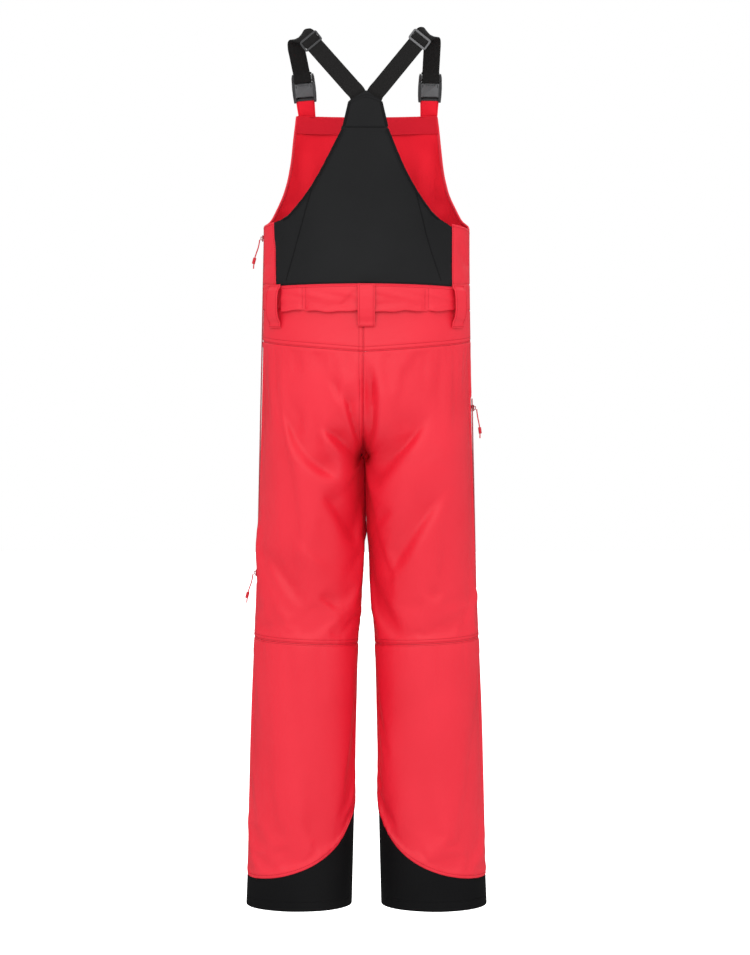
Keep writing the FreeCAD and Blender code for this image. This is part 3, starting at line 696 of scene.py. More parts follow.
# Folds of the back, each as path of (x, height), rise, width on either side, fades.
BACK_FOLDS = [
    # beside the centre seam, down into the crotch
    ([(-0.0085, 0.940), (-0.012, 0.905), (-0.014, 0.860), (-0.014, 0.812), (-0.005, 0.756)],
     -0.019, 0.016, 0.0060, (0.40, 0.04)),
    ([(-0.024, 0.925), (-0.028, 0.880), (-0.029, 0.830), (-0.022, 0.780)],
     0.005, 0.007, 0.034, (0.4, 0.3)),
    ([(0.038, 0.893), (0.028, 0.866), (0.021, 0.836), (0.012, 0.798), (0.002, 0.760)],
     -0.015, 0.0065, 0.019, (0.30, 0.05)),
    ([(0.066, 0.912), (0.048, 0.880), (0.034, 0.848)], -0.0065, 0.005, 0.012, (0.4, 0.5)),
    # under the seat, left thigh
    ([(0.088, 0.822), (0.058, 0.796), (0.030, 0.766), (0.004, 0.744)],
     0.008, 0.032, 0.007, (0.35, 0.05)),
    ([(0.080, 0.830), (0.052, 0.808), (0.025, 0.780), (0.002, 0.754)],
     -0.026, 0.0085, 0.028, (0.40, 0.04)),
    ([(0.146, 0.880), (0.137, 0.850), (0.111, 0.795), (0.084, 0.764), (0.030, 0.736)],
     -0.020, 0.0120, 0.032, (0.40, 0.25)),
    ([(0.070, 0.728), (0.050, 0.690), (0.017, 0.640), (0.006, 0.612)],
     -0.014, 0.010, 0.024, (0.30, 0.30)),
    # under the seat, right thigh
    ([(-0.112, 0.856), (-0.089, 0.818), (-0.064, 0.789), (-0.036, 0.757), (-0.008, 0.716)],
     -0.020, 0.034, 0.0120, (0.40, 0.15)),
    ([(-0.150, 0.734), (-0.116, 0.698), (-0.086, 0.656), (-0.058, 0.610), (-0.030, 0.560)],
     -0.017, 0.032, 0.0130, (0.35, 0.30)),
    ([(-0.046, 0.690), (-0.034, 0.674), (-0.018, 0.652)], -0.006, 0.012, 0.006, (0.4, 0.4)),
    # above the knees
    ([(0.176, 0.616), (0.142, 0.570), (0.100, 0.515)], -0.010, 0.012, 0.026, (0.35, 0.45)),
    ([(0.130, 0.634), (0.098, 0.607), (0.055, 0.574)], 0.005, 0.018, 0.012, (0.4, 0.5)),
    ([(0.082, 0.544), (0.061, 0.528), (0.043, 0.514)], -0.006, 0.006, 0.014, (0.4, 0.4)),
    ([(-0.134, 0.550), (-0.103, 0.533)], -0.004, 0.014, 0.009, (0.5, 0.5)),
    ([(-0.016, 0.572), (-0.026, 0.520), (-0.056, 0.463)], -0.008, 0.018, 0.008, (0.35, 0.4)),
    # lower legs
    ([(0.060, 0.430), (0.052, 0.330), (0.066, 0.220)], -0.004, 0.026, 0.018, (0.5, 0.6)),
    ([(-0.066, 0.440), (-0.058, 0.330), (-0.070, 0.210)], -0.004, 0.018, 0.026, (0.5, 0.6)),
    ([(0.150, 0.300), (0.143, 0.200), (0.150, 0.110)], -0.0035, 0.020, 0.014, (0.5, 0.5)),
    ([(-0.152, 0.320), (-0.146, 0.210), (-0.150, 0.120)], -0.0035, 0.014, 0.020, (0.5, 0.5)),
]

# Folds of the front of one leg, for the wearer's left; the right leg has them mirrored.
FRONT_FOLDS = [
    ([(0.018, 0.868), (0.060, 0.842), (0.112, 0.832)], -0.0085, 0.016, 0.008, (0.3, 0.5)),
    ([(0.012, 0.836), (0.052, 0.806), (0.104, 0.772)], -0.0105, 0.022, 0.008, (0.3, 0.5)),
    ([(0.010, 0.790), (0.038, 0.742), (0.070, 0.690)], -0.0105, 0.022, 0.008, (0.25, 0.5)),
    ([(0.150, 0.700), (0.120, 0.610), (0.070, 0.520)], -0.0085, 0.010, 0.030, (0.4, 0.4)),
    ([(0.030, 0.520), (0.090, 0.498), (0.150, 0.502)], -0.0075, 0.013, 0.007, (0.4, 0.4)),
    ([(0.040, 0.425), (0.095, 0.408), (0.150, 0.416)], -0.0065, 0.013, 0.007, (0.4, 0.4)),
    ([(0.100, 0.360), (0.094, 0.250), (0.108, 0.140)], -0.0050, 0.024, 0.016, (0.5, 0.5)),
    ([(0.162, 0.330), (0.152, 0.230), (0.160, 0.130)], -0.0040, 0.012, 0.018, (0.5, 0.5)),
]


def ripple(x, height, seed, rise=0.0011, longest=0.20):
    """Slow uneven waves of cloth that nothing pulls tight."""
    rng = np.random.default_rng(seed)
    total = 0
    for i in range(9):
        wave = longest * rng.uniform(0.28, 1.0)
        lean = rng.normal(0.0, 0.7)
        phase = rng.uniform(0, 2 * math.pi)
        flow = (x * math.cos(lean) + height * math.sin(lean)) * 2 * math.pi / wave
        total = total + np.sin(flow + phase + 1.4 * np.sin(height * 17 + i)) * wave / longest
    return total * rise / 2.2


def relief(face, x, height):
    """How far the cloth stands off the body's smooth surface."""
    total = ripple(x, height, 11 if face > 0 else 23)
    if face > 0:
        for path, rise, plus, minus, fade in BACK_FOLDS:
            total = total + fold(x, height, path, rise, plus, minus, fade)
        return total
    for side in (1, -1):
        for path, rise, plus, minus, fade in FRONT_FOLDS:
            total = total + fold(side * x, height, path, rise, plus, minus, fade)
    return total


# ---- Leg and hip panels ----
SEAM_LEAN = 0.0042             # how far the centre back seam hangs to the wearer's left
LEG_LAP = 0.0050               # how far the touching inner legs bend past one another
LEGS_APART = 0.625             # below this height daylight shows between the legs


def leaned(points, height):
    """The cloth near the middle hangs a little sideways, so the inner legs lap in depth."""
    back = ease((points[..., 1] + 0.018) / 0.036)
    lap = ease((height - LEGS_APART + 0.02) / 0.04) * (1 - ease((height - 0.77) / 0.05))
    seat = ease((height - 0.77) / 0.05)
    shift = lap * LEG_LAP * (2 * back - 1) + seat * SEAM_LEAN * ease(points[..., 1] / 0.05)
    shift = shift * (1 - ease((height - 0.99) / 0.03))
    near = 1 - ease((np.abs(points[..., 0]) - 0.004) / 0.055)
    points[..., 0] += shift * near
    return points


def leg_cloth(side, face, low, high, share, up):
    """Points, outward directions and heights of the loose cloth of a leg piece."""
    height = low(share) + (high(share) - low(share)) * up
    points, outward, angle = leg_surface(side, face, share, height)
    half_width, depth = section(height)[1], section(height)[3]
    radius = (half_width + depth) / 2
    start = side_start(side, face, height)
    from_side = (angle - start) * radius
    to_inseam = (math.pi - angle) * radius
    apart = 1 - ease((height - CROTCH_HEIGHT) / 0.04)
    free = ease(from_side / 0.035) * (1 - apart * (1 - ease(to_inseam / 0.030)))
    free = free * (1 - ease((height - 0.96) / 0.05))
    facing_out = ease(np.abs(outward[..., 1]) / 0.45)
    stand_off = relief(face, points[..., 0], height) * free * facing_out
    lifted = points + np.array([0.0, face, 0.0]) * stand_off[..., None]
    zip_side = slot_width(SIDE_ZIP if side > 0 else VENT_ZIP, height) > ZIP_SLOT / 2
    dip = 0.0013 * zip_side * (1 - ease(from_side / 0.013))
    return leaned(lifted - outward * dip[..., None], height), outward, height


CLOTH_STEP = 0.008
CLOTH_FRAMES = 26
CLOTH_SLACK = 0.014            # how much longer the cloth is than the way between its seams
CLOTH_MOVE = 0.0055            # farthest that a point may move


def settle(cuts):
    """Lets each cut piece hang from its seams with a little slack; returns its movement.

    cuts maps a name to its surface, a function of the shares across and up, and its size."""
    scene, waiting = bpy.context.scene, {}
    for name, (surface, size) in cuts.items():
        columns, rows = (max(8, int(length / CLOTH_STEP)) for length in size)
        share, up = np.meshgrid(np.linspace(0, 1, columns), np.linspace(0, 1, rows))
        points = surface(share, up)
        piece = mesh_object(f"settling_{name}", points.reshape(-1, 3), grid_faces(rows, columns),
                            [])
        index = np.arange(rows * columns).reshape(rows, columns)
        border = {*index[0], *index[-1], *index[:, 0], *index[:, -1]}
        piece.vertex_groups.new(name="seams").add([int(i) for i in border], 1.0, "REPLACE")
        cloth = piece.modifiers.new("cloth", "CLOTH")
        cloth.settings.vertex_group_mass = "seams"
        cloth.settings.quality = 6
        cloth.settings.mass = 0.25
        cloth.settings.bending_stiffness = 0.8
        cloth.settings.shrink_min = -CLOTH_SLACK
        cloth.settings.air_damping = 3
        cloth.settings.effector_weights.gravity = 0.35
        cloth.collision_settings.use_collision = False
        waiting[name] = (piece, points)
    for step in range(1, CLOTH_FRAMES + 1):
        scene.frame_set(step)
    moves, graph = {}, bpy.context.evaluated_depsgraph_get()
    for name, (piece, points) in waiting.items():
        mesh = piece.evaluated_get(graph).data
        settled = np.zeros(len(mesh.vertices) * 3)
        mesh.vertices.foreach_get("co", settled)
        move = settled.reshape(points.shape) - points
        size = np.linalg.norm(move, axis=-1, keepdims=True)
        moves[name] = move * np.minimum(1, CLOTH_MOVE / np.maximum(size, 1e-9))
    for piece, _ in waiting.values():
        bpy.data.objects.remove(piece)
    scene.frame_set(1)
    return moves


def cubic(field, share, up):
    """Smooth value of a grid of values at shares across and up."""
    rows, columns = field.shape[:2]
    total = 0
    for place, count, axis in ((up * (rows - 1), rows, 0), (share * (columns - 1), columns, 1)):
        start = np.floor(place)
        t = place - start
        weights = ((1 - t) ** 3 / 6, (3 * t ** 3 - 6 * t ** 2 + 4) / 6,
                   (-3 * t ** 3 + 3 * t ** 2 + 3 * t + 1) / 6, t ** 3 / 6)
        index = [np.clip(start + k - 1, 0, count - 1).astype(int) for k in range(4)]
        if axis == 0:
            up_weights, up_index = weights, index
    for row, row_weight in zip(up_index, up_weights):
        for column, weight in zip(index, weights):
            total = total + field[row, column] * (row_weight * weight)[..., None]
    return total


def leg_panel(name, side, face, low, high, moves, width=0.30):
    """Leg panel; low and high are heights as functions of the share round the leg."""
    tall = float(np.max(high(np.array([0.0, 1.0])) - low(np.array([0.0, 1.0]))))
    share, up = np.meshgrid(spaced(width), spaced(tall))
    points, outward, height = leg_cloth(side, face, low, high, share, up)
    if name in moves:
        held = ease(np.minimum(share, 1 - share) * width / 0.012)
        held = held * ease(np.minimum(up, 1 - up) * tall / 0.012)
        points = points + cubic(moves[name], share, up) * held[..., None]
    panel = Panel(points, outward)
    near_middle = ease((0.030 - np.abs(points[..., 0])) / 0.02) * ease((height - 0.74) / 0.03)
    straight = np.array([0.0, face, 0.0]) * near_middle[..., None]
    panel.inward = -unit(panel.normals * (1 - near_middle[..., None]) + straight)
    return panel


def leveled(heights):
    return lambda share: heights[0] + (heights[1] - heights[0]) * share


def kick_edge(sharpness):
    """Top edge of the black cuff, low at the outseam and sweeping up the instep."""
    return lambda share: CUFF_SIDE + KICK_PATCH_RISE * np.asarray(share) ** sharpness


def flat_level(height):
    return lambda share: height + 0 * np.asarray(share)


def raised(edge, amount):
    return lambda share: edge(share) + amount


def declare_cloth(panel):
    flat, area = panel.cut_size()


def place_piece(piece, body, nodes):
    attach(piece, body)
    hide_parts(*nodes)
    return piece


def leg_cuts():
    """Every leg piece: side, face, its lower and its upper edge."""
    knee, hip, gap = leveled(KNEE_SEAM), leveled(HIP_SEAM), 2 * SEAM_GAP
    cuts = {}
    for name, side in SIDES:
        for face, where, sharpness in ((1, "back", 3.0), (-1, "front", 4.5)):
            edge = kick_edge(sharpness)
            cuts[f"{name}_cuff_{where}"] = (side, face, flat_level(0.0), edge)
            cuts[f"{name}_lower_leg_{where}"] = (side, face, raised(edge, gap),
                                                 raised(knee, -gap))
        cuts[f"{name}_thigh_back"] = (side, 1, knee, raised(hip, -gap))
        cuts[f"{name}_hip_yoke"] = (side, 1, hip, flat_level(BAND_LOW - gap))
        cuts[f"{name}_thigh_front"] = (side, -1, knee, flat_level(BAND_LOW - gap))
    return cuts


def settled_legs(cuts):
    """How the loose middle of every larger leg piece moves as it settles."""
    hung = {}
    for name, (side, face, low, high) in cuts.items():
        if "cuff" in name or "yoke" in name:
            continue
        tall = float(np.max(high(np.array([0.0, 1.0])) - low(np.array([0.0, 1.0]))))

        def surface(share, up, cut=(side, face, low, high)):
            return leg_cloth(*cut, share, up)[0]
        hung[name] = (surface, (0.28, tall))
    return settle(hung)


FLY_STITCH = [(0.036, 1.008), (0.036, 0.960), (0.035, 0.925), (0.027, 0.897), (0.010, 0.882)]


def lower_body(looks, seams):
    cuts = leg_cuts()
    moves = settled_legs(cuts)
    panels = {}
    for number, (name, (side, face, low, high)) in enumerate(cuts.items()):
        panel = leg_panel(name, side, face, low, high, moves)
        panels[name] = panel
        if "cuff" in name:
            panel.roll("first", "last", "high", depth=0.0010)
            panel.roll("low", depth=0.0008, width=0.002)
            panel.groove("low", 0.016)
            seams["black"] += [panel.line("low", 0.016), panel.line("high", 0.0022)]
            look, slot = "cuff", "black_cuff"
        else:
            look, slot = "shell", "red_shell"
            panel.roll("first", "last", "low", depth=0.0011)
            if "yoke" not in name:
                panel.roll("high", depth=0.0011)
                panel.pucker("low", 31 + number, height=0.0005)
                panel.pucker("high", 61 + number, height=0.0003)
        rows = []
        if "lower_leg" in name:
            rows = [("low", 0.0050), ("high", 0.0022)]
        if "thigh" in name:
            rows = [("low", 0.0022), ("low", 0.0072)]
        if "yoke" in name:
            rows = [("low", 0.0018), ("low", 0.0078)]
        if name in ("left_thigh_back", "left_hip_yoke"):
            panel.pucker("last", 91, height=0.0003)
            rows += [("last", 0.0022), ("last", 0.0080)]
        for border, inset in rows:
            panel.groove(border, inset)
            seams["red"].append(panel.line(border, inset))
        if name == "left_thigh_front":
            for inset in (0, 0.0056):
                seams["red"].append(panel.over([(x - inset, height) for x, height in FLY_STITCH]))
        made = panel.solid(name + "_cloth", [looks[look], looks["lining"]])
        place_piece(made, "garment", [name])
        declare_cloth(panel)
        if side > 0 and ("thigh" in name or "yoke" in name):
            seam_tape(f"{name}_middle_seam_tape", panel, "last", looks["seam_tape"], width=0.005)
        if "lower_leg" in name or name.endswith("thigh_back"):
            seam_tape(f"{name}_upper_seam_tape", panel, "high", looks["seam_tape"])
        if name.endswith("cuff_back"):
            seam_tape(f"{name}_side_seam_tape", panel, "first", looks["seam_tape"])
    return panels


# ---- Trunk panels ----
def trunk_panel(face, low, high, limits, relief_of=None, width=0.42, coarse=0.0040):
    """Trunk panel; limits gives its two edges across, from the wearer's left, at a height."""
    rows = spaced(float(np.max(high(np.array([0.0, 0.5, 1.0]))) - low), coarse=coarse)
    share, up = np.meshgrid(spaced(width, coarse=coarse), rows)
    height = low + (high(share) - low) * up
    left, right = limits(height)
    half_width = outseam(height)
    first = np.arccos(np.clip(left / half_width, -1, 1))
    last = np.arccos(np.clip(right / half_width, -1, 1))
    angle = first + (last - first) * share
    points, outward = trunk_surface(face, half_width * np.cos(angle), height)
    if relief_of:
        points = points + outward * relief_of(points[..., 0], height)[..., None]
    return Panel(points, outward)


def seam_limits(face):
    """Places across of the side seams or of the zip's edge, at a height."""
    def limits(height):
        left = outseam(height) * np.cos(side_start(1, face, height))
        right = -outseam(height) * np.cos(side_start(-1, face, height))
        return left, right
    return limits


def narrowed(limits, half, half_right=None):
    """Limits cut down to a half-width, or to one on either side."""
    def both(height):
        left, right = limits(height)
        return np.minimum(left, half(height)), np.maximum(right, -(half_right or half)(height))
    return both


def yoke_half(height):
    return np.interp(height, *np.array(YOKE_HALF).T)


def yoke_right(height):
    narrower = YOKE_RIGHT * ease((YOKE_HALF[-1][0] - height) / 0.010)
    return np.maximum(yoke_half(height) - narrower, 0.0006)


BIB_DRAGS = (
    ([(0.112, 1.330), (0.118, 1.270), (0.110, 1.200)], 0.0040, 0.010, 0.016, (0.3, 0.5)),
    ([(0.098, 1.300), (0.092, 1.240), (0.100, 1.170)], -0.0040, 0.012, 0.012, (0.4, 0.5)),
    ([(0.140, 1.205), (0.120, 1.170), (0.085, 1.130)], -0.0045, 0.010, 0.018, (0.3, 0.5)),
    ([(0.060, 1.120), (0.050, 1.095), (0.055, 1.070)], -0.0020, 0.012, 0.012, (0.4, 0.4)))


def bib_relief(x, height):
    """Soft drags from the arm openings and slack across the chest."""
    total = ripple(x, height, 37, rise=0.0013, longest=0.16)
    for side in (1, -1):
        for drag in BIB_DRAGS:
            total = total + fold(side * x, height, *drag)
    return total * ease((height - BAND_HIGH) / 0.03) * ease((0.176 - np.abs(x)) / 0.02)


def back_relief(x, height):
    """The stretch back lies nearly flat, with slack towards its lower corners."""
    total = ripple(x, height, 53, rise=0.0008, longest=0.24)
    for side in (1, -1):
        total = total + fold(side * x, height, [(0.112, 1.180), (0.128, 1.120), (0.146, 1.070)],
                             -0.0020, 0.010, 0.016, (0.3, 0.3))
    return total * ease((height - BAND_HIGH) / 0.02) * ease((1.34 - height) / 0.05)


def side_relief(x, height):
    side = np.sign(x[0, 0])
    total = fold(side * x, height, [(0.157, 1.140), (0.166, 1.110), (0.175, 1.080)],
                 -0.0030, 0.005, 0.009, (0.3, 0.3))
    return total * ease((height - BAND_HIGH) / 0.01)


PRINCESS_SEAMS = ([(0.090, 1.225), (0.0965, 1.205), (0.1035, 1.180), (0.118, 1.128),
                   (0.136, 1.066)],
                  [(-0.083, 1.215), (-0.092, 1.180), (-0.104, 1.130), (-0.126, 1.066)])


def part_of(line, low, high):
    """The stretch of a line of points and normals between two heights."""
    points, normals = line
    inside = (points[:, 2] > low - WAIST_HEIGHT) & (points[:, 2] < high - WAIST_HEIGHT)
    return points[inside], normals[inside]


def upper_body(looks, seams):
    low = BAND_HIGH + 2 * SEAM_GAP
    bib_high = BIB_HALF[-1][0]
    shell = [looks["shell"], looks["lining"]]
    bib = trunk_panel(-1, low, flat_level(bib_high), narrowed(seam_limits(-1), bib_half),
                      bib_relief)
    bib.roll("low", "high")
    bib.pucker("high", 91)
    facing = trunk_panel(-1, FACING_LOW, flat_level(bib_high + 0.0002),
                         narrowed(seam_limits(-1), lambda h: bib_half(h) - 0.0008))
    facing.lift(np.full(facing.points.shape[:2], -FABRIC - 0.0008))
    facing.roll("high", depth=-0.0008)
    back = trunk_panel(1, low, flat_level(YOKE_HALF[0][0] - 2 * SEAM_GAP),
                       narrowed(seam_limits(1), back_half, back_right), back_relief)
    back.roll("low", "high", "first", "last", depth=0.0008)
    back.pucker("first", 101, height=0.00025)
    back.pucker("last", 102, height=0.00025)
    yoke = trunk_panel(1, YOKE_HALF[0][0], flat_level(YOKE_HALF[-1][0]),
                       narrowed(seam_limits(1), yoke_half, yoke_right), width=0.085,
                       coarse=0.0022)
    yoke.roll("low", depth=0.0006)
    seams["red"] += [bib.line("high", 0.0030), bib.line("low", 0.0022), bib.line("low", 0.0072)]
    seams["lining"] += [facing.line("low", 0.0018)]
    seams["black"] += [back.line("low", 0.0022), yoke.line("low", 0.0020)]
    for panel, node, look, slot, held in (
            (bib, "front_bib_panel", shell, "red_shell", "hung"),
            (facing, "front_bib_facing", [looks["facing"]] * 2, "red_facing", "hung"),
            (back, "back_bib_panel", [looks["stretch"]] * 2, "black_stretch", "stretched"),
            (yoke, "back_bib_yoke", [looks["stretch"]] * 2, "black_stretch", "stretched")):
        made = panel.solid(node + "_cloth", look, 0.0014 if "facing" in node else FABRIC)
        place_piece(made, "garment", [node])
        declare_cloth(panel)
    seam_tape("back_yoke_seam_tape", back, "high", looks["seam_tape"])
    for border, where in (("first", "left"), ("last", "right")):
        edge = part_of(back.line(border, 0.0016), 1.168, 1.320)
        bound_edge(f"back_{where}_armhole_binding", edge, looks["binding"])
        edge = part_of(yoke.line(border, 0.0016), 1.3225, 1.3660)
        bound_edge(f"yoke_{where}_binding", edge, looks["binding"])
        edge = part_of(bib.line(border, 0.0016), 1.160, bib_high)
        bound_edge(f"bib_{where}_armhole_binding", edge, looks["shell"])
        seams["black"].append(part_of(back.line(border, 0.0062), 1.170, 1.320))
        seams["red"].append(part_of(bib.line(border, 0.0062), 1.165, bib_high))
    for number, path in enumerate(PRINCESS_SEAMS):
        points, normals = back.over(path)
        ridge(f"princess_seam_{number}", points, normals, looks["binding"])
    for rise in (0.0, 0.0042):
        arc = [(x, 1.3775 - rise - 0.30 * abs(x) - 3.2 * x * x) for x in
               np.linspace(0.0285, -0.0255, 12)]
        seams["black"].append(yoke.over(arc))
    for name, side in SIDES:
        def limits(height, side=side):
            seam = seam_limits(1)(height)[0 if side > 0 else 1]
            if side > 0:
                return seam, 0.1536 + 0.004 * np.clip((height - low) / 0.104, 0, 1)
            return -0.1458 + 0 * np.asarray(height), seam
        top = (1.160, 1.1665) if side > 0 else (1.1625, 1.153)
        panel = trunk_panel(1, low, leveled(top), limits, side_relief, width=0.060, coarse=0.003)
        panel.roll("low", "first", "last", "high", depth=0.0009)
        inner = "last" if side > 0 else "first"
        seams["red"] += [panel.line(inner, 0.0020), panel.line("high", 0.0040)]
        made = panel.solid(f"{name}_side_panel_cloth", shell)
        place_piece(made, "garment", [f"{name}_side_panel"])
        declare_cloth(panel)
        seam_tape(f"{name}_side_panel_seam_tape", panel, inner, looks["seam_tape"])
    seam_tape("back_waist_seam_tape", back, "low", looks["seam_tape"])
    chest_pocket(looks, seams)


def chest_pocket(looks, seams):
    """Patch pocket on the bib: full in the middle, sewn flat all round, sunk under its zip."""
    left, right, low, high = CHEST_POCKET
    panel = trunk_panel(-1, low, flat_level(high), lambda height: (left + 0 * height,
                                                                   right + 0 * height),
                        width=left - right, coarse=0.0025)
    height = panel.points[..., 2] + WAIST_HEIGHT
    x = panel.points[..., 0]
    inside = ease((CHEST_ZIP[0] - height) / 0.002 + 1) * ease((height - CHEST_ZIP[1]) / 0.002 + 1)
    sunk = 0.0040 * inside * ease((ZIP_SLOT + 0.0012 - np.abs(x - CHEST_ZIP_X)) / 0.0014)
    panel.lift(POCKET_LIFT + ripple(x, height, 71, rise=0.0005, longest=0.09) - sunk)
    panel.refresh()
    panel.roll("low", "high", "first", "last", depth=POCKET_LIFT - FABRIC - 0.0006, width=0.0042)
    for border in ("low", "high", "first", "last"):
        panel.groove(border, 0.0060)
        seams["red"].append(panel.line(border, 0.0060))
    made = panel.solid("chest_pocket_cloth", [looks["shell"], looks["lining"]], FABRIC)
    place_piece(made, "garment", ["chest_pocket"])
    declare_cloth(panel)


# ---- Snow gaiters ----
GAITER = (0.034, 0.225)
GAITER_CLEAR = [(0.034, 0.0170), (0.130, 0.0140), (0.225, 0.0060)]     # height, way to the leg


def gaiters(looks, seams):
    """Inner cuffs inside the hems, gathered by an elastic edge at the foot."""
    clear = smooth(GAITER_CLEAR)
    angle, up = np.meshgrid(np.linspace(0, 2 * math.pi, 181), spaced(GAITER[1] - GAITER[0]))
    height = GAITER[0] + (GAITER[1] - GAITER[0]) * up
    centre, half_width, middle, depth = section(height)
    gather = np.exp(-((height - GAITER[0] - 0.012) / 0.03) ** 2)
    gather = gather + 0.5 * np.exp(-((GAITER[1] - height) / 0.03) ** 2)
    pleats = np.sin(34 * angle + 1.3 * np.sin(5 * angle)) + 0.5 * np.sin(19 * angle + 40 * height)
    slack = 0.0013 * gather * pleats + 0.0015 * np.sin(3 * angle + 60 * height) * np.sin(np.pi * up)
    away = FABRIC + clear(height) + 0.0018 - slack
    elastic = 0.0012 * ((height < GAITER[0] + 0.018) & (height > GAITER[0] + 0.002))
    for name, side in SIDES:
        x = side * (centre + (half_width - away + elastic) * np.cos(angle))
        y = middle + (depth - away + elastic) * np.sin(angle)
        outward = np.stack([side * np.cos(angle), np.sin(angle), 0 * angle], -1)
        panel = Panel(framed(x, y, height), outward)
        panel.inward = -outward
        rings = [row for row in panel.points[[18, 4]]]
        made = sheet_object(f"{name}_snow_gaiter_cloth", panel.points,
                            panel.points - panel.normals * 0.0012, [looks["gaiter"]] * 2)
        place_piece(made, "garment", [f"{name}_snow_gaiter"])
        declare_cloth(panel)
        for row in rings:
            seams["black"].append((row, unit(outward[0])))


# ---- Waist ----
TUNNEL_LEFT, TUNNEL_RIGHT = 0.141, -0.149
TUNNEL_STITCHES = (0.1055, 0.1005, -0.0963, -0.1030)


def tunnel_edge(share):
    """Lower edge of the tunnel, wavy between its upright rows of stitching."""
    x = TUNNEL_LEFT + (TUNNEL_RIGHT - TUNNEL_LEFT) * np.asarray(share)
    wave = 0.0011 * np.sin(x * 74 + 0.6) + 0.0007 * np.sin(x * 171)
    return 1.0135 + wave + 0.002 * ease((np.abs(x) - 0.100) / 0.004)


def waist(looks, seams):
    shell = [looks["shell"], looks["lining"]]
    for face, where in ((1, "back"), (-1, "front")):
        band = trunk_panel(face, BAND_LOW, flat_level(BAND_HIGH), seam_limits(face),
                           width=0.46)
        band.roll("first", "last", "low", "high", depth=0.0010)
        seams["red"] += [band.line("low", 0.0024)]
        if face < 0:
            seams["red"] += [band.line("high", 0.0024)]
        made = band.solid(f"waistband_{where}_cloth", shell, 0.0032)
        place_piece(made, "garment", [f"waistband_{where}"])
        declare_cloth(band)
    share, up = np.meshgrid(spaced(0.31, coarse=0.003), spaced(0.048, fine=0.0007, coarse=0.002))
    low = tunnel_edge(share)
    height = low + (BAND_HIGH - 0.0008 - low) * up
    x = TUNNEL_LEFT + (TUNNEL_RIGHT - TUNNEL_LEFT) * share
    points, outward = trunk_surface(1, x, height)
    held = sum(np.exp(-((x - at) / 0.0035) ** 2) for at in TUNNEL_STITCHES)
    bulge = 0.0022 + 0.0022 * np.sin(np.pi * np.clip(up, 0, 1)) * (1 - 0.7 * np.clip(held, 0, 1))
    open_edge = 0.0030 * (1 - ease(up / 0.30)) * (1 - np.clip(held, 0, 1))
    slack = 0.0007 * np.sin(x * 90 + 2 * np.sin(height * 160)) * np.sin(np.pi * up)
    crease = fold(x, height, [(0.016, 1.052), (0.030, 1.034), (0.050, 1.016)], -0.0016, 0.003,
                  0.007, (0.3, 0.3))
    points = points + outward * (bulge + open_edge + slack + crease)[..., None]
    tunnel = Panel(points, outward)
    tunnel.roll("high", depth=0.0026, width=0.004)
    tunnel.roll("low", depth=0.0007, width=0.0015)
    made = tunnel.solid("waistband_tunnel_cloth", shell, 0.0012)
    place_piece(made, "garment", ["waistband_tunnel"])
    declare_cloth(tunnel)
    seams["red"] += [tunnel.line("high", 0.0042)]
    for at in TUNNEL_STITCHES:
        column = int(np.argmin(np.abs(x[0] - at)))
        seams["red"] += [(tunnel.points[4:-4, column], tunnel.normals[4:-4, column])]


# Belt loops: name, angle round the waist in degrees, face, foot height, bow.
BELT_LOOPS = [("back", 90.0, 1, 0.988, 0.0075), ("left", 30.5, 1, 0.987, 0.010),
              ("right", 149.5, 1, 0.987, 0.010), ("front_left", 62.0, -1, 0.990, 0.0075),
              ("front_right", 118.0, -1, 0.990, 0.0075)]
LOOP_TOP = 1.060
LOOP_WIDTH = 0.029
LOOP_THICKNESS = 0.002


def belt_loop(looks, seams, name, angle_deg, face, foot, bow):
    """Strap sewn at both ends, standing off the band in between."""
    middle = math.radians(angle_deg)
    stand_off = smooth([(0.0, 0.0012), (0.09, 0.0016), (0.25, 0.75 * bow), (0.45, bow),
                        (0.65, bow), (0.85, 0.8 * bow), (0.95, 0.0034), (1.0, 0.0029)])
    across, up = np.meshgrid(spaced(LOOP_WIDTH, 0.0006, 0.002, 0.005) - 0.5,
                             spaced(0.09, 0.0009, 0.002, 0.009))
    height = foot + (LOOP_TOP - foot) * up
    centre, depth, half_width = depth_centre(height), half_depth(height), outseam(height)
    base = framed(half_width * math.cos(middle), centre + face * depth * math.sin(middle), height)
    outward = unit(np.stack([math.cos(middle) / half_width, face * math.sin(middle) / depth,
                             0 * height], -1))
    sideways = np.stack([-outward[..., 1], outward[..., 0], 0 * height], -1)
    cup = 0.0006 * np.cos(np.pi * across) + stand_off(up) + LOOP_THICKNESS
    points = base + sideways * (across * LOOP_WIDTH)[..., None] + outward * cup[..., None]
    panel = Panel(points, outward)
    panel.roll("first", "last", depth=0.0007, width=0.0016)
    panel.roll("low", "high", depth=0.0007, width=0.0016)
    made = panel.solid(f"belt_loop_{name}_cloth", [looks["shell"]] * 2, LOOP_THICKNESS - 0.0002)
    place_piece(made, "garment", [f"belt_loop_{name}"])
    declare_cloth(panel)
    seams["red"] += [panel.line("first", 0.0030), panel.line("last", 0.0030),
                     panel.line("low", 0.0022), panel.line("high", 0.0022)]


# ---- Stitching, bindings and other sewn trim ----
def repeated(name, template, faces, origins, axes, looks):
    """Many copies of a small shape; axes are its x, y, z directions at each origin."""
    points = origins[:, None, :] + np.einsum("kj,njc->nkc", template, axes)
    count = len(template)
    offsets = (np.arange(len(origins)) * count)[:, None, None]
    all_faces = (np.asarray(faces)[None] + offsets).reshape(-1, np.asarray(faces).shape[1])
    return mesh_object(name, points.reshape(-1, 3), all_faces, looks)


STITCH = (0.0026, 0.0035, 0.00034)     # length, pitch, half-thickness


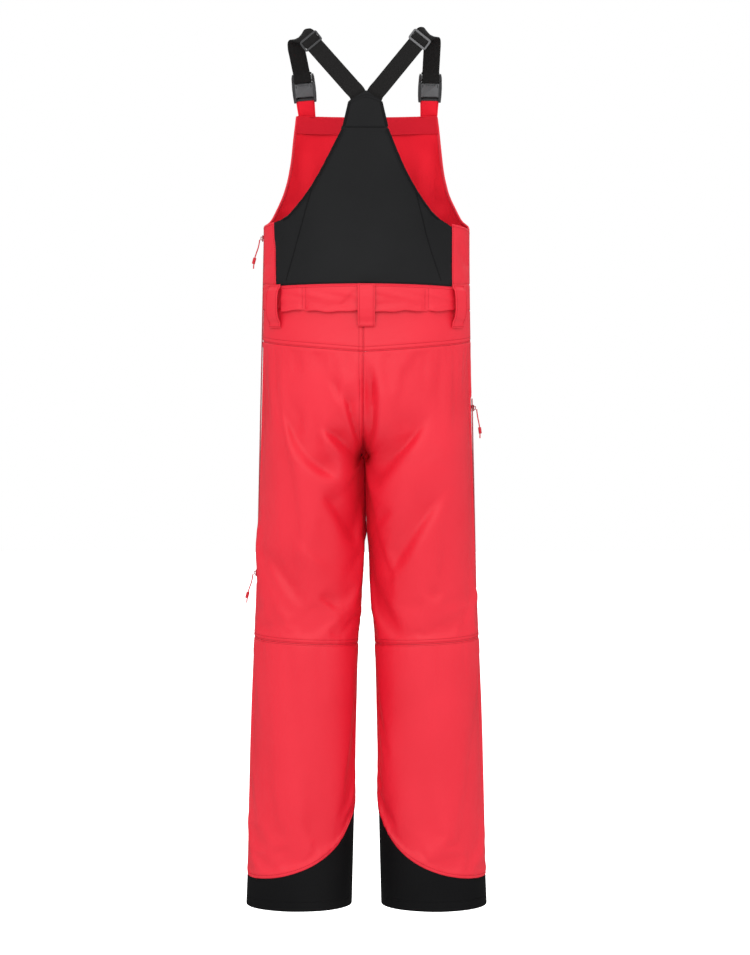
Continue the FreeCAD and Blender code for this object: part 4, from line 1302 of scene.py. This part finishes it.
def stitching(name, lines, look):
    """Rows of thread along lines of points with their normals."""
    length, pitch, radius = STITCH
    origins, axes = [], []
    for points, normals in lines:
        along = lengths_along(points)
        starts = np.arange(0.001, along[-1] - length, pitch)
        for i, places in enumerate((starts, starts + length)):
            part = np.stack([np.interp(places, along, points[:, k]) for k in range(3)], 1)
            if i == 0:
                first = part
        facing = unit(np.stack([np.interp(starts, along, normals[:, k]) for k in range(3)], 1))
        run = part - first
        side = unit(np.cross(run, facing))
        origins.append((first + part) / 2 + facing * radius * 0.45)
        axes.append(np.stack([run, side * radius, facing * radius], 1))
    ring = [(0, 1), (1, 0), (0, -1), (-1, 0)]
    template = [(t, s * w, u * w) for t, w in ((-0.5, 0.35), (-0.3, 1), (0.3, 1), (0.5, 0.35))
                for s, u in ring]
    faces = [(4 * k + i, 4 * k + (i + 1) % 4, 4 * k + 4 + (i + 1) % 4, 4 * k + 4 + i)
             for k in range(3) for i in range(4)] + [(3, 2, 1, 0), (12, 13, 14, 15)]
    made = repeated(name, np.array(template), faces, np.concatenate(origins),
                    np.concatenate(axes), [look])
    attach(made, "garment")
    return made


def swept(name, path, across, out, profile, looks):
    """Solid along a path; profile is its outline as (across, out) points."""
    profile = np.array(profile, float)
    rings = path[:, None, :] + across[:, None, :] * profile[None, :, :1]
    rings = rings + out[:, None, :] * profile[None, :, 1:]
    rows, columns = rings.shape[:2]
    index = np.arange(rows * columns).reshape(rows, columns)
    after = np.roll(index, -1, axis=1)
    faces = np.stack([index[:-1], after[:-1], after[1:], index[1:]], -1).reshape(-1, 4)
    faces = [list(f) for f in faces] + [list(index[0][::-1]), list(index[-1])]
    along = np.broadcast_to(lengths_along(path)[:, None], (rows, columns))
    place = np.broadcast_to(profile[None, :, 0], (rows, columns))
    cloth = np.stack([place, along], -1).reshape(-1, 2)
    return mesh_object(name, rings.reshape(-1, 3), faces, looks, cloth=cloth)


def rounded_bar(width, thickness, steps=4):
    """Outline of a flat bar with round edges."""
    radius = thickness / 2
    turns = np.linspace(-math.pi / 2, math.pi / 2, steps + 1)
    right = [(width / 2 - radius + radius * math.cos(t), radius * math.sin(t)) for t in turns]
    left = [(-x, -y) for x, y in right]
    return right + left


def sewn_strip(name, points, normals, profile, look):
    """Narrow strip along a line, with its profile across and out of the cloth."""
    along = unit(np.gradient(points, axis=0))
    across = unit(np.cross(along, normals))
    made = swept(name, points, across, unit(np.cross(across, along)), profile, [look])
    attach(made, "garment")
    return made


def bound_edge(name, line, look):
    """Folded tape round a raw edge; the line runs just inside the edge."""
    points, normals = line
    keep = np.concatenate([[True], np.linalg.norm(np.diff(points, axis=0), axis=1) > 0.0004])
    points, normals = resampled(points[keep], 0.0025), resampled(normals[keep], 0.0025)
    picked = np.linspace(0, len(normals) - 1, len(points)).round().astype(int)
    normals = unit(normals[picked])
    return sewn_strip(name, points - normals * FABRIC / 2, normals,
                      rounded_bar(0.0058, FABRIC + 0.0012), look)


def ridge(name, points, normals, look):
    """Seam pressed to one side, standing a little proud of the cloth."""
    return sewn_strip(name, points - normals * 0.0002, normals, rounded_bar(0.0026, 0.0011), look)


TAPE_WIDTH = 0.013


def seam_tape(name, panel, border, look, trim=4, width=TAPE_WIDTH):
    """Waterproof tape glued over a seam on the inside."""
    points = panel.line(border, 0.0005)[0]
    normals = panel.line(border, 0.0090)[1]
    picked = np.linspace(trim, len(points) - 1 - trim, max(8, len(points) // 2)).astype(int)
    points, normals = points[picked], normals[picked]
    return sewn_strip(name, points - normals * (FABRIC + 0.0022), normals,
                      rounded_bar(width, 0.0003, steps=2), look)


# ---- Straps ----
def strap_line(name):
    """Points of the strap's middle line, from the yoke over the shoulder to the buckle."""
    exit_point, corner, foot = (np.array(place[name]) for place in (YOKE_EXIT, SHOULDER, BIB_FOOT))
    worn = corner + np.array(SHOULDER_DROP[name])
    back, front = exit_point - corner, foot - worn
    buckle = foot - unit(foot - corner) * (BUCKLE_FOOT + STRAP_END)
    back_run = np.linalg.norm(back)
    back, front = unit(back), unit(front)
    sewn = exit_point + np.array([-0.66 * exit_point[0], 0, -0.024])
    line = [sewn, sewn + (exit_point - sewn) * 0.55]
    line += [corner + back * (back_run + (SHOULDER_BEND - back_run) * i / 10) for i in range(11)]
    first, last = corner + back * SHOULDER_BEND, worn + front * 0.020
    for i in range(1, 6):
        t = i / 6
        line.append(first * (1 - t) ** 2 + worn * 2 * t * (1 - t) + last * t * t)
    line += [last + (buckle - last) * i / 5 for i in range(6)]
    return np.array(line) - np.array([0, 0, WAIST_HEIGHT])


def strap_frames(name, step=0.0025):
    """Even points of the strap with its directions across the webbing and out of its face."""
    line = strap_line(name)
    lengths = lengths_along(line)
    places = np.linspace(0, lengths[-1], int(lengths[-1] / step))
    path = np.stack([smooth(list(zip(lengths, line[:, k])))(places) for k in range(3)], 1)
    low, high = (lengths[point] for point in TWIST_POINTS)
    share = ease((places - low) / (high - low))[:, None]
    along = unit(np.gradient(path, axis=0))
    across = np.array(ACROSS_BACK[name]) * (1 - share) + np.array(ACROSS_FRONT[name]) * share
    across = unit(across - along * np.sum(across * along, 1, keepdims=True))
    out = np.cross(across, along) if name == "left" else np.cross(along, across)
    return places, path, across, unit(out), lengths


def webbing_profile(width, thickness):
    """Flat webbing with a rounded selvedge."""
    half, t = width / 2, thickness / 2
    top = [(half, 0), (half - 0.0003, t * 0.7), (half - 0.0010, t * 1.1), (half - 0.0022, t),
           (half * 0.5, t), (0, t), (-half * 0.5, t), (-half + 0.0022, t),
           (-half + 0.0010, t * 1.1), (-half + 0.0003, t * 0.7), (-half, 0)]
    return top + [(x, -y) for x, y in reversed(top[1:-1])]


def straps(looks):
    for name, _ in SIDES:
        places, path, across, out, lengths = strap_frames(name)
        profile = webbing_profile(*WEBBING)
        outward, up = harness_axes(name)[2:]
        # the end passes over the prong's bar on the body's side and turns round it
        near = ease((places - lengths[-1] + 0.020) / 0.020)[:, None]
        path = path - outward * PRONG_TURN * near
        turns = np.linspace(0, math.pi, 9)[1:]
        centre = path[-1] + outward * PRONG_TURN
        bend = [centre - outward * PRONG_TURN * math.cos(t) - up * PRONG_TURN * math.sin(t)
                for t in turns]
        whole = np.concatenate([path, bend, [bend[-1] + up * 0.010]])
        count = len(whole) - len(path)
        facing = [-outward * math.cos(t) - up * math.sin(t) for t in turns] + [outward]
        sense = 1.0 if out[-1] @ outward < 0 else -1.0
        whole_across = np.concatenate([across, np.repeat(across[-1:], count, 0)])
        whole_out = np.concatenate([out, np.array(facing) * sense])
        strap = swept(f"{name}_strap_webbing", whole, whole_across, whole_out, profile,
                      [looks["webbing"]])
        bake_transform(strap)
        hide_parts(f"{name}_strap")
        # the free part comes back from the buckle to the adjuster, inside the main run
        side_out = outward if out[-1] @ outward < 0 else -outward
        below = path - out * (WEBBING[1] + 0.0004)
        below = below + side_out * 0.0022 * near
        bend = lengths[BEND_POINT]
        adjuster_end = bend - (ADJUSTER_AT - SHOULDER_BEND) + 0.0135
        upper = (places > adjuster_end) & (places < bend + 0.024)
        lower = places >= bend + 0.0215
        for part, chosen in (("upper", upper), ("lower", lower)):
            made = swept(f"{name}_strap_return_{part}", below[chosen], across[chosen],
                         out[chosen], profile, [looks["webbing"]])
            if part == "upper":
                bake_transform(made)
            else:
                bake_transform(made)


def harness_axes(name):
    """Buckle's own axes: origin at the foot, across, outward and up along the strap."""
    out = strap_frames(name)[3]
    corner, foot = np.array(SHOULDER[name]), np.array(BIB_FOOT[name])
    up = unit(corner - foot)
    origin = foot + up * BUCKLE_FOOT - np.array([0, 0, WAIST_HEIGHT])
    sideways = unit(np.cross(out[-3], up))
    outward = np.cross(up, sideways)
    if outward[1] > 0:
        sideways, outward = -sideways, -outward
    return origin, sideways, outward, up


def strap_tabs(looks, seams):
    """Cloth tab from the bib's top edge up into the buckle's slot."""
    edge = BIB_HALF[-1][0] + 0.0002 - WAIST_HEIGHT
    for name, _ in SIDES:
        origin, sideways, outward, up = harness_axes(name)
        share, rise = np.meshgrid(spaced(0.031, 0.0006, 0.0025, 0.004) - 0.5,
                                  spaced(0.034, 0.0008, 0.0022, 0.008))
        across = share * (0.0298 + 0.0026 * rise)
        foot = (edge - origin[2] - sideways[2] * across) / up[2]
        along = foot + (0.0034 - foot) * rise
        bow = 0.0010 * np.sin(np.pi * rise) * np.cos(np.pi * share) - 0.0006 * rise
        crease = 0.0002 * np.sin(along * 300 + across * 130) * np.sin(np.pi * rise)
        near = origin + up * along[..., None] + sideways * across[..., None]
        near = near - outward * (0.0014 + bow + crease)[..., None]
        panel = Panel(near, np.broadcast_to(-outward, near.shape))
        panel.roll("first", "last", "high", depth=0.0007, width=0.0016)
        made = panel.solid(f"{name}_strap_tab_cloth", [looks["lining"], looks["shell"]], 0.0026)
        place_piece(made, "garment", [f"{name}_strap_tab"])
        for border, inset in (("first", 0.0026), ("last", 0.0026), ("low", 0.003)):
            seams["red"].append(panel.line(border, inset))


def outlined(points, steps=5, radius=0.0016):
    """Closed outline with its corners rounded."""
    rounded = []
    for before, corner, after in zip(points[-1:] + points[:-1], points, points[1:] + points[:1]):
        corner = np.array(corner, float)
        start = corner + unit(np.array(before, float) - corner) * radius
        end = corner + unit(np.array(after, float) - corner) * radius
        for t in np.linspace(0, 1, steps):
            rounded.append(start * (1 - t) ** 2 + corner * 2 * t * (1 - t) + end * t * t)
    return rounded


def slab(outline, rear, front, edge=0.0005):
    """Points and faces of a slab with bevelled edges: outline in x, z and its depth in y."""
    outline = np.array(outline)
    middle = outline.mean(0)
    inward = unit(middle - outline) * edge
    rings = []
    for depth, inset in ((rear, 1), (rear + edge, 0), (front - edge, 0), (front, 1)):
        flat = outline + inward * inset
        rings.append(np.stack([flat[:, 0], np.full(len(flat), depth), flat[:, 1]], 1))
    count = len(outline)
    faces = [(k * count + i, k * count + (i + 1) % count, (k + 1) * count + (i + 1) % count,
              (k + 1) * count + i) for k in range(3) for i in range(count)]
    faces += [tuple(range(count))[::-1], tuple(3 * count + i for i in range(count))]
    return np.concatenate(rings), faces


def joined(name, slabs, axes, look):
    """One object from slabs given in a part's own axes."""
    origin, sideways, outward, up = axes
    points, faces, start = [], [], 0
    for part, part_faces in slabs:
        points.append(origin + part @ np.stack([sideways, outward, up]))
        faces += [tuple(start + i for i in face) for face in part_faces]
        start += len(part)
    made = mesh_object(name, np.concatenate(points), faces, [look])
    mesh = bmesh.new()
    mesh.from_mesh(made.data)
    bmesh.ops.recalc_face_normals(mesh, faces=mesh.faces)
    mesh.to_mesh(made.data)
    mesh.free()
    return made


def rectangle(left, right, low, high, radius=0.0010):
    return outlined([(left, low), (right, low), (right, high), (left, high)], radius=radius)


def buckles(looks):
    """Both halves of each side-release buckle. Depth runs away from the body."""
    half, rail = 0.0203, 0.0052
    for name, _ in SIDES:
        axes = harness_axes(name)
        rails, upper = [], []
        for hand in (1, -1):
            outer = [(hand * (half - 0.0009), 0.0004), (hand * (half - 0.0001), 0.012),
                     (hand * (half + 0.0001), 0.026), (hand * (half - 0.0003), 0.0372)]
            inner = [(hand * (half - rail), 0.0372), (hand * (half - rail), 0.0004)]
            rails.append(slab(outlined(outer + inner, radius=0.0009), -0.0040, 0.0042))
            outer = [(hand * (half - 0.0003), 0.0378), (hand * (half - 0.0008), 0.0460),
                     (hand * (half - 0.0020), 0.0505)]
            inner = [(hand * (half - rail), 0.0490), (hand * (half - rail), 0.0378)]
            upper.append(slab(outlined(outer + inner, radius=0.0009), -0.0036, 0.0040))
        reach = half - rail + 0.0006
        rails.append(slab(rectangle(-reach, reach, 0.0030, 0.0072), -0.0016, 0.0040))
        rails.append(slab(rectangle(-reach, reach, 0.0060, 0.0345), 0.0022, 0.0040))
        socket = joined(f"{name}_buckle_socket_rails", rails, axes, looks["plastic"])
        place_piece(socket, "garment", [f"{name}_buckle_socket"])
        # plate on the body's side, with its recess and two notches
        notch = 0.0034
        plate = [(-reach, 0.0098), (reach, 0.0098), (reach, 0.0345), (0.0102, 0.0345),
                 (0.0084, 0.0345 - notch), (-0.0084, 0.0345 - notch), (-0.0102, 0.0345),
                 (-reach, 0.0345)]
        parts = [slab(outlined(plate, radius=0.0006), -0.0038, -0.0024, edge=0.0004)]
        parts.append(slab(rectangle(-0.0092, 0.0092, 0.0290, 0.0345, 0.0006), -0.0027, -0.0021,
                          edge=0.0001))
        plate = joined(f"{name}_buckle_socket_plate", parts, axes, looks["plate"])
        place_piece(plate, "garment", [f"{name}_buckle_socket"])
        marks = [slab(rectangle(hand * 0.0128 - 0.0004, hand * 0.0128 + 0.0004, 0.0272, 0.0325,
                                0.0003), -0.00395, -0.0037, edge=0.00005) for hand in (1, -1)]
        marks.append(slab(rectangle(-0.0130, 0.0130, 0.0104, 0.0112, 0.0003), -0.00395, -0.0037,
                          edge=0.00005))
        marks = joined(f"{name}_buckle_socket_marks", marks, axes, looks["binding"])
        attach(marks, "garment")
        for hand in (1, -1):
            upper.append(slab(rectangle(hand * 0.0120 - 0.0021, hand * 0.0120 + 0.0021, 0.0185,
                                        0.0390), -0.0016, 0.0016))
        upper.append(slab(rectangle(-reach, reach, 0.0378, 0.0402), -0.0010, 0.0010))
        upper.append(slab(rectangle(-reach, reach, 0.0490, 0.0525), 0.0020, 0.0040))
        upper.append(slab(rectangle(-0.0060, 0.0060, 0.0165, 0.0390), -0.0016, 0.0016))
        prong = joined(f"{name}_buckle_prong_frame", upper, axes, looks["plastic"])
        place_piece(prong, f"{name}_buckle_prong", [f"{name}_buckle_prong"])


def adjusters(looks):
    """Ladder-lock slide near the top of each strap, with the webbing raised inside it."""
    half, bar, tall = 0.0181, 0.0032, 0.0240
    for name, side in SIDES:
        places, path, _, out, lengths = strap_frames(name)
        offset = places - lengths[BEND_POINT] + ADJUSTER_AT - SHOULDER_BEND
        at = int(np.argmin(np.abs(offset)))
        up = unit(path[at + 3] - path[at - 3])
        outward = out[at] if out[at][1] > 0 else -out[at]
        sideways = unit(np.cross(outward, up))
        outward = np.cross(up, sideways)
        axes = (path[at], sideways, outward, up)
        corner = 0.0042
        turns = []
        for x, z, start in ((half - corner, -tall / 2 + corner, -90),
                            (half - corner, tall / 2 - corner, 0),
                            (-half + corner, tall / 2 - corner, 90),
                            (-half + corner, -tall / 2 + corner, 180)):
            for step in range(7):
                turn = math.radians(start + step * 15)
                turns.append((x, z, math.cos(turn), math.sin(turn)))
        ring = np.array([(x + c * corner, z + s * corner) for x, z, c, s in turns])
        away = np.array([(c, s) for _, _, c, s in turns])
        wide = np.where(np.abs(away[:, 1]) > 0.9, bar * 1.25, bar)
        section_of = [(0.0, 0.0006), (0.25, 0.0), (0.75, 0.0), (1.0, 0.0006), (1.0, 0.0018),
                      (0.75, 0.0025), (0.25, 0.0025), (0.0, 0.0018)]
        points = []
        for share, depth in section_of:
            flat = ring - away * (wide * share)[:, None]
            points.append(np.stack([flat[:, 0], np.full(len(flat), depth + 0.0004), flat[:, 1]], 1))
        count = len(ring)
        faces = [(k * count + i, k * count + (i + 1) % count,
                  (k + 1) % 8 * count + (i + 1) % count, (k + 1) % 8 * count + i)
                 for k in range(8) for i in range(count)]
        bars = [(np.concatenate(points), faces)]
        bars.append(slab(rectangle(-half + 0.002, half - 0.002, -0.0016, 0.0016), -0.0034, -0.0014))
        for hand in (1, -1):
            x = hand * (half - bar / 2)
            bars.append(slab(rectangle(x - bar * 0.45, x + bar * 0.45, -0.0040, 0.0040), -0.0034,
                             0.0008))
        # the right adjuster is the same plastic as the left one, painted lighter as a painted
        # highlight
        look = looks["plastic"] if side > 0 else looks["highlit_plastic"]
        made = joined(f"{name}_strap_adjuster_frame", bars, axes, look)
        place_piece(made, f"{name}_strap_adjuster", [f"{name}_strap_adjuster"])
        reach = tall / 2 - bar * 1.25 - 0.0010
        run = np.linspace(-reach, reach, 15)
        lift = 0.0012 + 0.0013 * np.cos(run / reach * math.pi / 2) ** 0.5
        middle = path[at] + up * run[:, None] + outward * lift[:, None]
        pad = swept(f"{name}_strap_adjuster_webbing", middle,
                    np.broadcast_to(sideways, middle.shape),
                    np.broadcast_to(outward, middle.shape), webbing_profile(0.0286, WEBBING[1]),
                    [looks["webbing"]])
        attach(pad, f"{name}_strap_adjuster")


# ---- Zips and their pulls ----
def side_point(side, height):
    return np.array([side * np.interp(height, *np.array(OUTSEAM).T), 0.0, height])


def front_point(x, height):
    middle, depth = (np.interp(height, *np.array(t).T) for t in (DEPTH_CENTRE, HALF_DEPTH))
    across = x / np.interp(height, *np.array(OUTSEAM).T)
    return np.array([x, middle - depth * math.sqrt(1 - across * across), height])


def zip_axes(top, foot, out):
    """Zip's own axes: its top end, its lateral, outward and upward directions."""
    up = unit(top - foot)
    out = np.array(out, float)
    out = unit(out - up * (out @ up))
    return top - np.array([0, 0, WAIST_HEIGHT]), np.cross(out, up), out, up


def chest_axes():
    top, foot = (front_point(CHEST_ZIP_X, height) for height in CHEST_ZIP)
    half_width, depth = (np.interp(CHEST_ZIP[0], *np.array(t).T) for t in (OUTSEAM, HALF_DEPTH))
    normal = unit(np.array([top[0] / half_width ** 2, top[1] / depth ** 2, 0]))
    lift = normal * (POCKET_LIFT + 2 * SEAM_GAP)
    return zip_axes(top + lift, foot + lift, normal)


ZIPS = {
    "side_zip": (SIDE_ZIP, zip_axes(side_point(1, SIDE_ZIP[0]), side_point(1, SIDE_ZIP[1]),
                                    (1, 0, 0))),
    "vent_zip": (VENT_ZIP, zip_axes(side_point(-1, VENT_ZIP[0]), side_point(-1, VENT_ZIP[1]),
                                    (-1, 0, 0))),
    "fly_zip": (FLY_ZIP, zip_axes(front_point(0, FLY_ZIP[0]), front_point(0, FLY_ZIP[1]),
                                  (0, -1, 0))),
    "chest_zip": (CHEST_ZIP, chest_axes()),
}
TOOTH_PITCH = 0.0021
TOOTH = ((-0.0006, 0.0024), (-0.0029, -0.0004), 0.00095)     # across, outward, length


def zip_parts(looks):
    """Toothed rows and woven tapes of every zip."""
    for name, (ends, (top, lateral, outward, up)) in ZIPS.items():
        length = (ends[0] - ends[1]) / up[2]
        count = int((length - 0.004) / TOOTH_PITCH)
        (near, far), (rear, front), tall = TOOTH
        origins, axes = [], []
        for side in (1, -1):
            down = 0.002 + (np.arange(count) + (0.5 if side > 0 else 0.0)) * TOOTH_PITCH
            origins.append(top - up * down[:, None] + lateral * side * (near + far) / 2
                           + outward * (front + rear) / 2)
            axes.append(np.broadcast_to(np.stack([lateral * side, outward, up]), (count, 3, 3)))
        half = np.array([(far - near) / 2, (front - rear) / 2, tall / 2])
        ring = [(-1, -0.55), (-1, 0.55), (-0.5, 1), (0.75, 1), (1, 0.5), (1, -0.5), (0.75, -1),
                (-0.5, -1)]
        template = [(a * half[0], b * half[1], c * half[2]) for c in (-1, 1) for a, b in ring]
        sides = [(i, (i + 1) % 8, 8 + (i + 1) % 8, 8 + i) for i in range(8)]
        caps = [(0, 7, 6, 1), (1, 6, 5, 2), (2, 5, 4, 3)]
        caps += [tuple(8 + i for i in reversed(cap)) for cap in caps]
        teeth = repeated(f"{name}_teeth", np.array(template), sides + caps,
                         np.concatenate(origins), np.concatenate(axes), [looks["teeth"]])
        place_piece(teeth, "garment", [f"{name}_chain"])
        tapes = []
        for side in (1, -1):
            run = np.linspace(0, length, int(length / 0.006))
            path = top - up * run[:, None] + outward * -0.0016
            middle = lateral * side * 0.0042
            profile = [(-0.0018, -0.0005), (0.0018, -0.0005), (0.0018, 0.0003), (0.0010, 0.0005),
                       (0.0, 0.00035), (-0.0010, 0.0005), (-0.0018, 0.0004)]
            tapes.append(swept(f"{name}_tape_{'a' if side > 0 else 'b'}", path + middle,
                               np.broadcast_to(lateral * side, path.shape),
                               np.broadcast_to(outward, path.shape), profile, [looks["tape"]]))
        place_piece(tapes[0], "garment", [f"{name}_tape"])
        place_piece(tapes[1], "garment", [f"{name}_tape"])


def cords(looks):
    """Cord of each zip pull; its bead is the model's own."""
    for name, zip_name, drop, route in (
            ("side_zip_upper", "side_zip", 0.015, PULL_ROUTE),
            ("side_zip_lower", "side_zip", SIDE_ZIP[0] - SIDE_ZIP[1] - 0.014, PULL_ROUTE),
            ("vent_zip", "vent_zip", 0.017, VENT_ROUTE)):
        top, _, outward, up = ZIPS[zip_name][1]
        points = [top + outward * out - up * (drop + down) for out, down in route]
        data = bpy.data.curves.new(f"{name}_cord", "CURVE")
        data.dimensions = "3D"
        data.bevel_depth = PULL_CORD / 2
        data.bevel_resolution = 4
        data.use_fill_caps = True
        spline = data.splines.new("NURBS")
        spline.points.add(len(points) - 1)
        for place, point in zip(spline.points, points):
            place.co = (*point, 1)
        spline.order_u = 3
        spline.use_endpoint_u = True
        spline.resolution_u = 16
        data.materials.append(looks["cord"])
        cord = bpy.data.objects.new(f"{name}_cord", data)
        bpy.context.scene.collection.objects.link(cord)
        place_piece(cord, f"{name}_pull", [f"{name}_pull_cord"])


def dress_cad_nodes(looks):
    """The model's own hard parts get their materials."""
    finishes = {"_slider": "slider", "pull_bead": "bead"}
    for node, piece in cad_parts.items():
        for ending, look in finishes.items():
            if node.endswith(ending):
                piece.data.materials.clear()
                piece.data.materials.append(looks[look])


def build():
    camera()
    studio()
    looks = materials()
    cords(looks)
    seams = {"red": [], "black": [], "lining": []}
    lower_body(looks, seams)
    upper_body(looks, seams)
    waist(looks, seams)
    for loop in BELT_LOOPS:
        belt_loop(looks, seams, *loop)
    straps(looks)
    strap_tabs(looks, seams)
    buckles(looks)
    adjusters(looks)
    gaiters(looks, seams)
    zip_parts(looks)
    dress_cad_nodes(looks)
    for name, thread in (("red", "thread_red"), ("black", "thread_black"),
                         ("lining", "thread_red")):
        stitching(f"stitching_{name}", seams[name], looks[thread])


build()
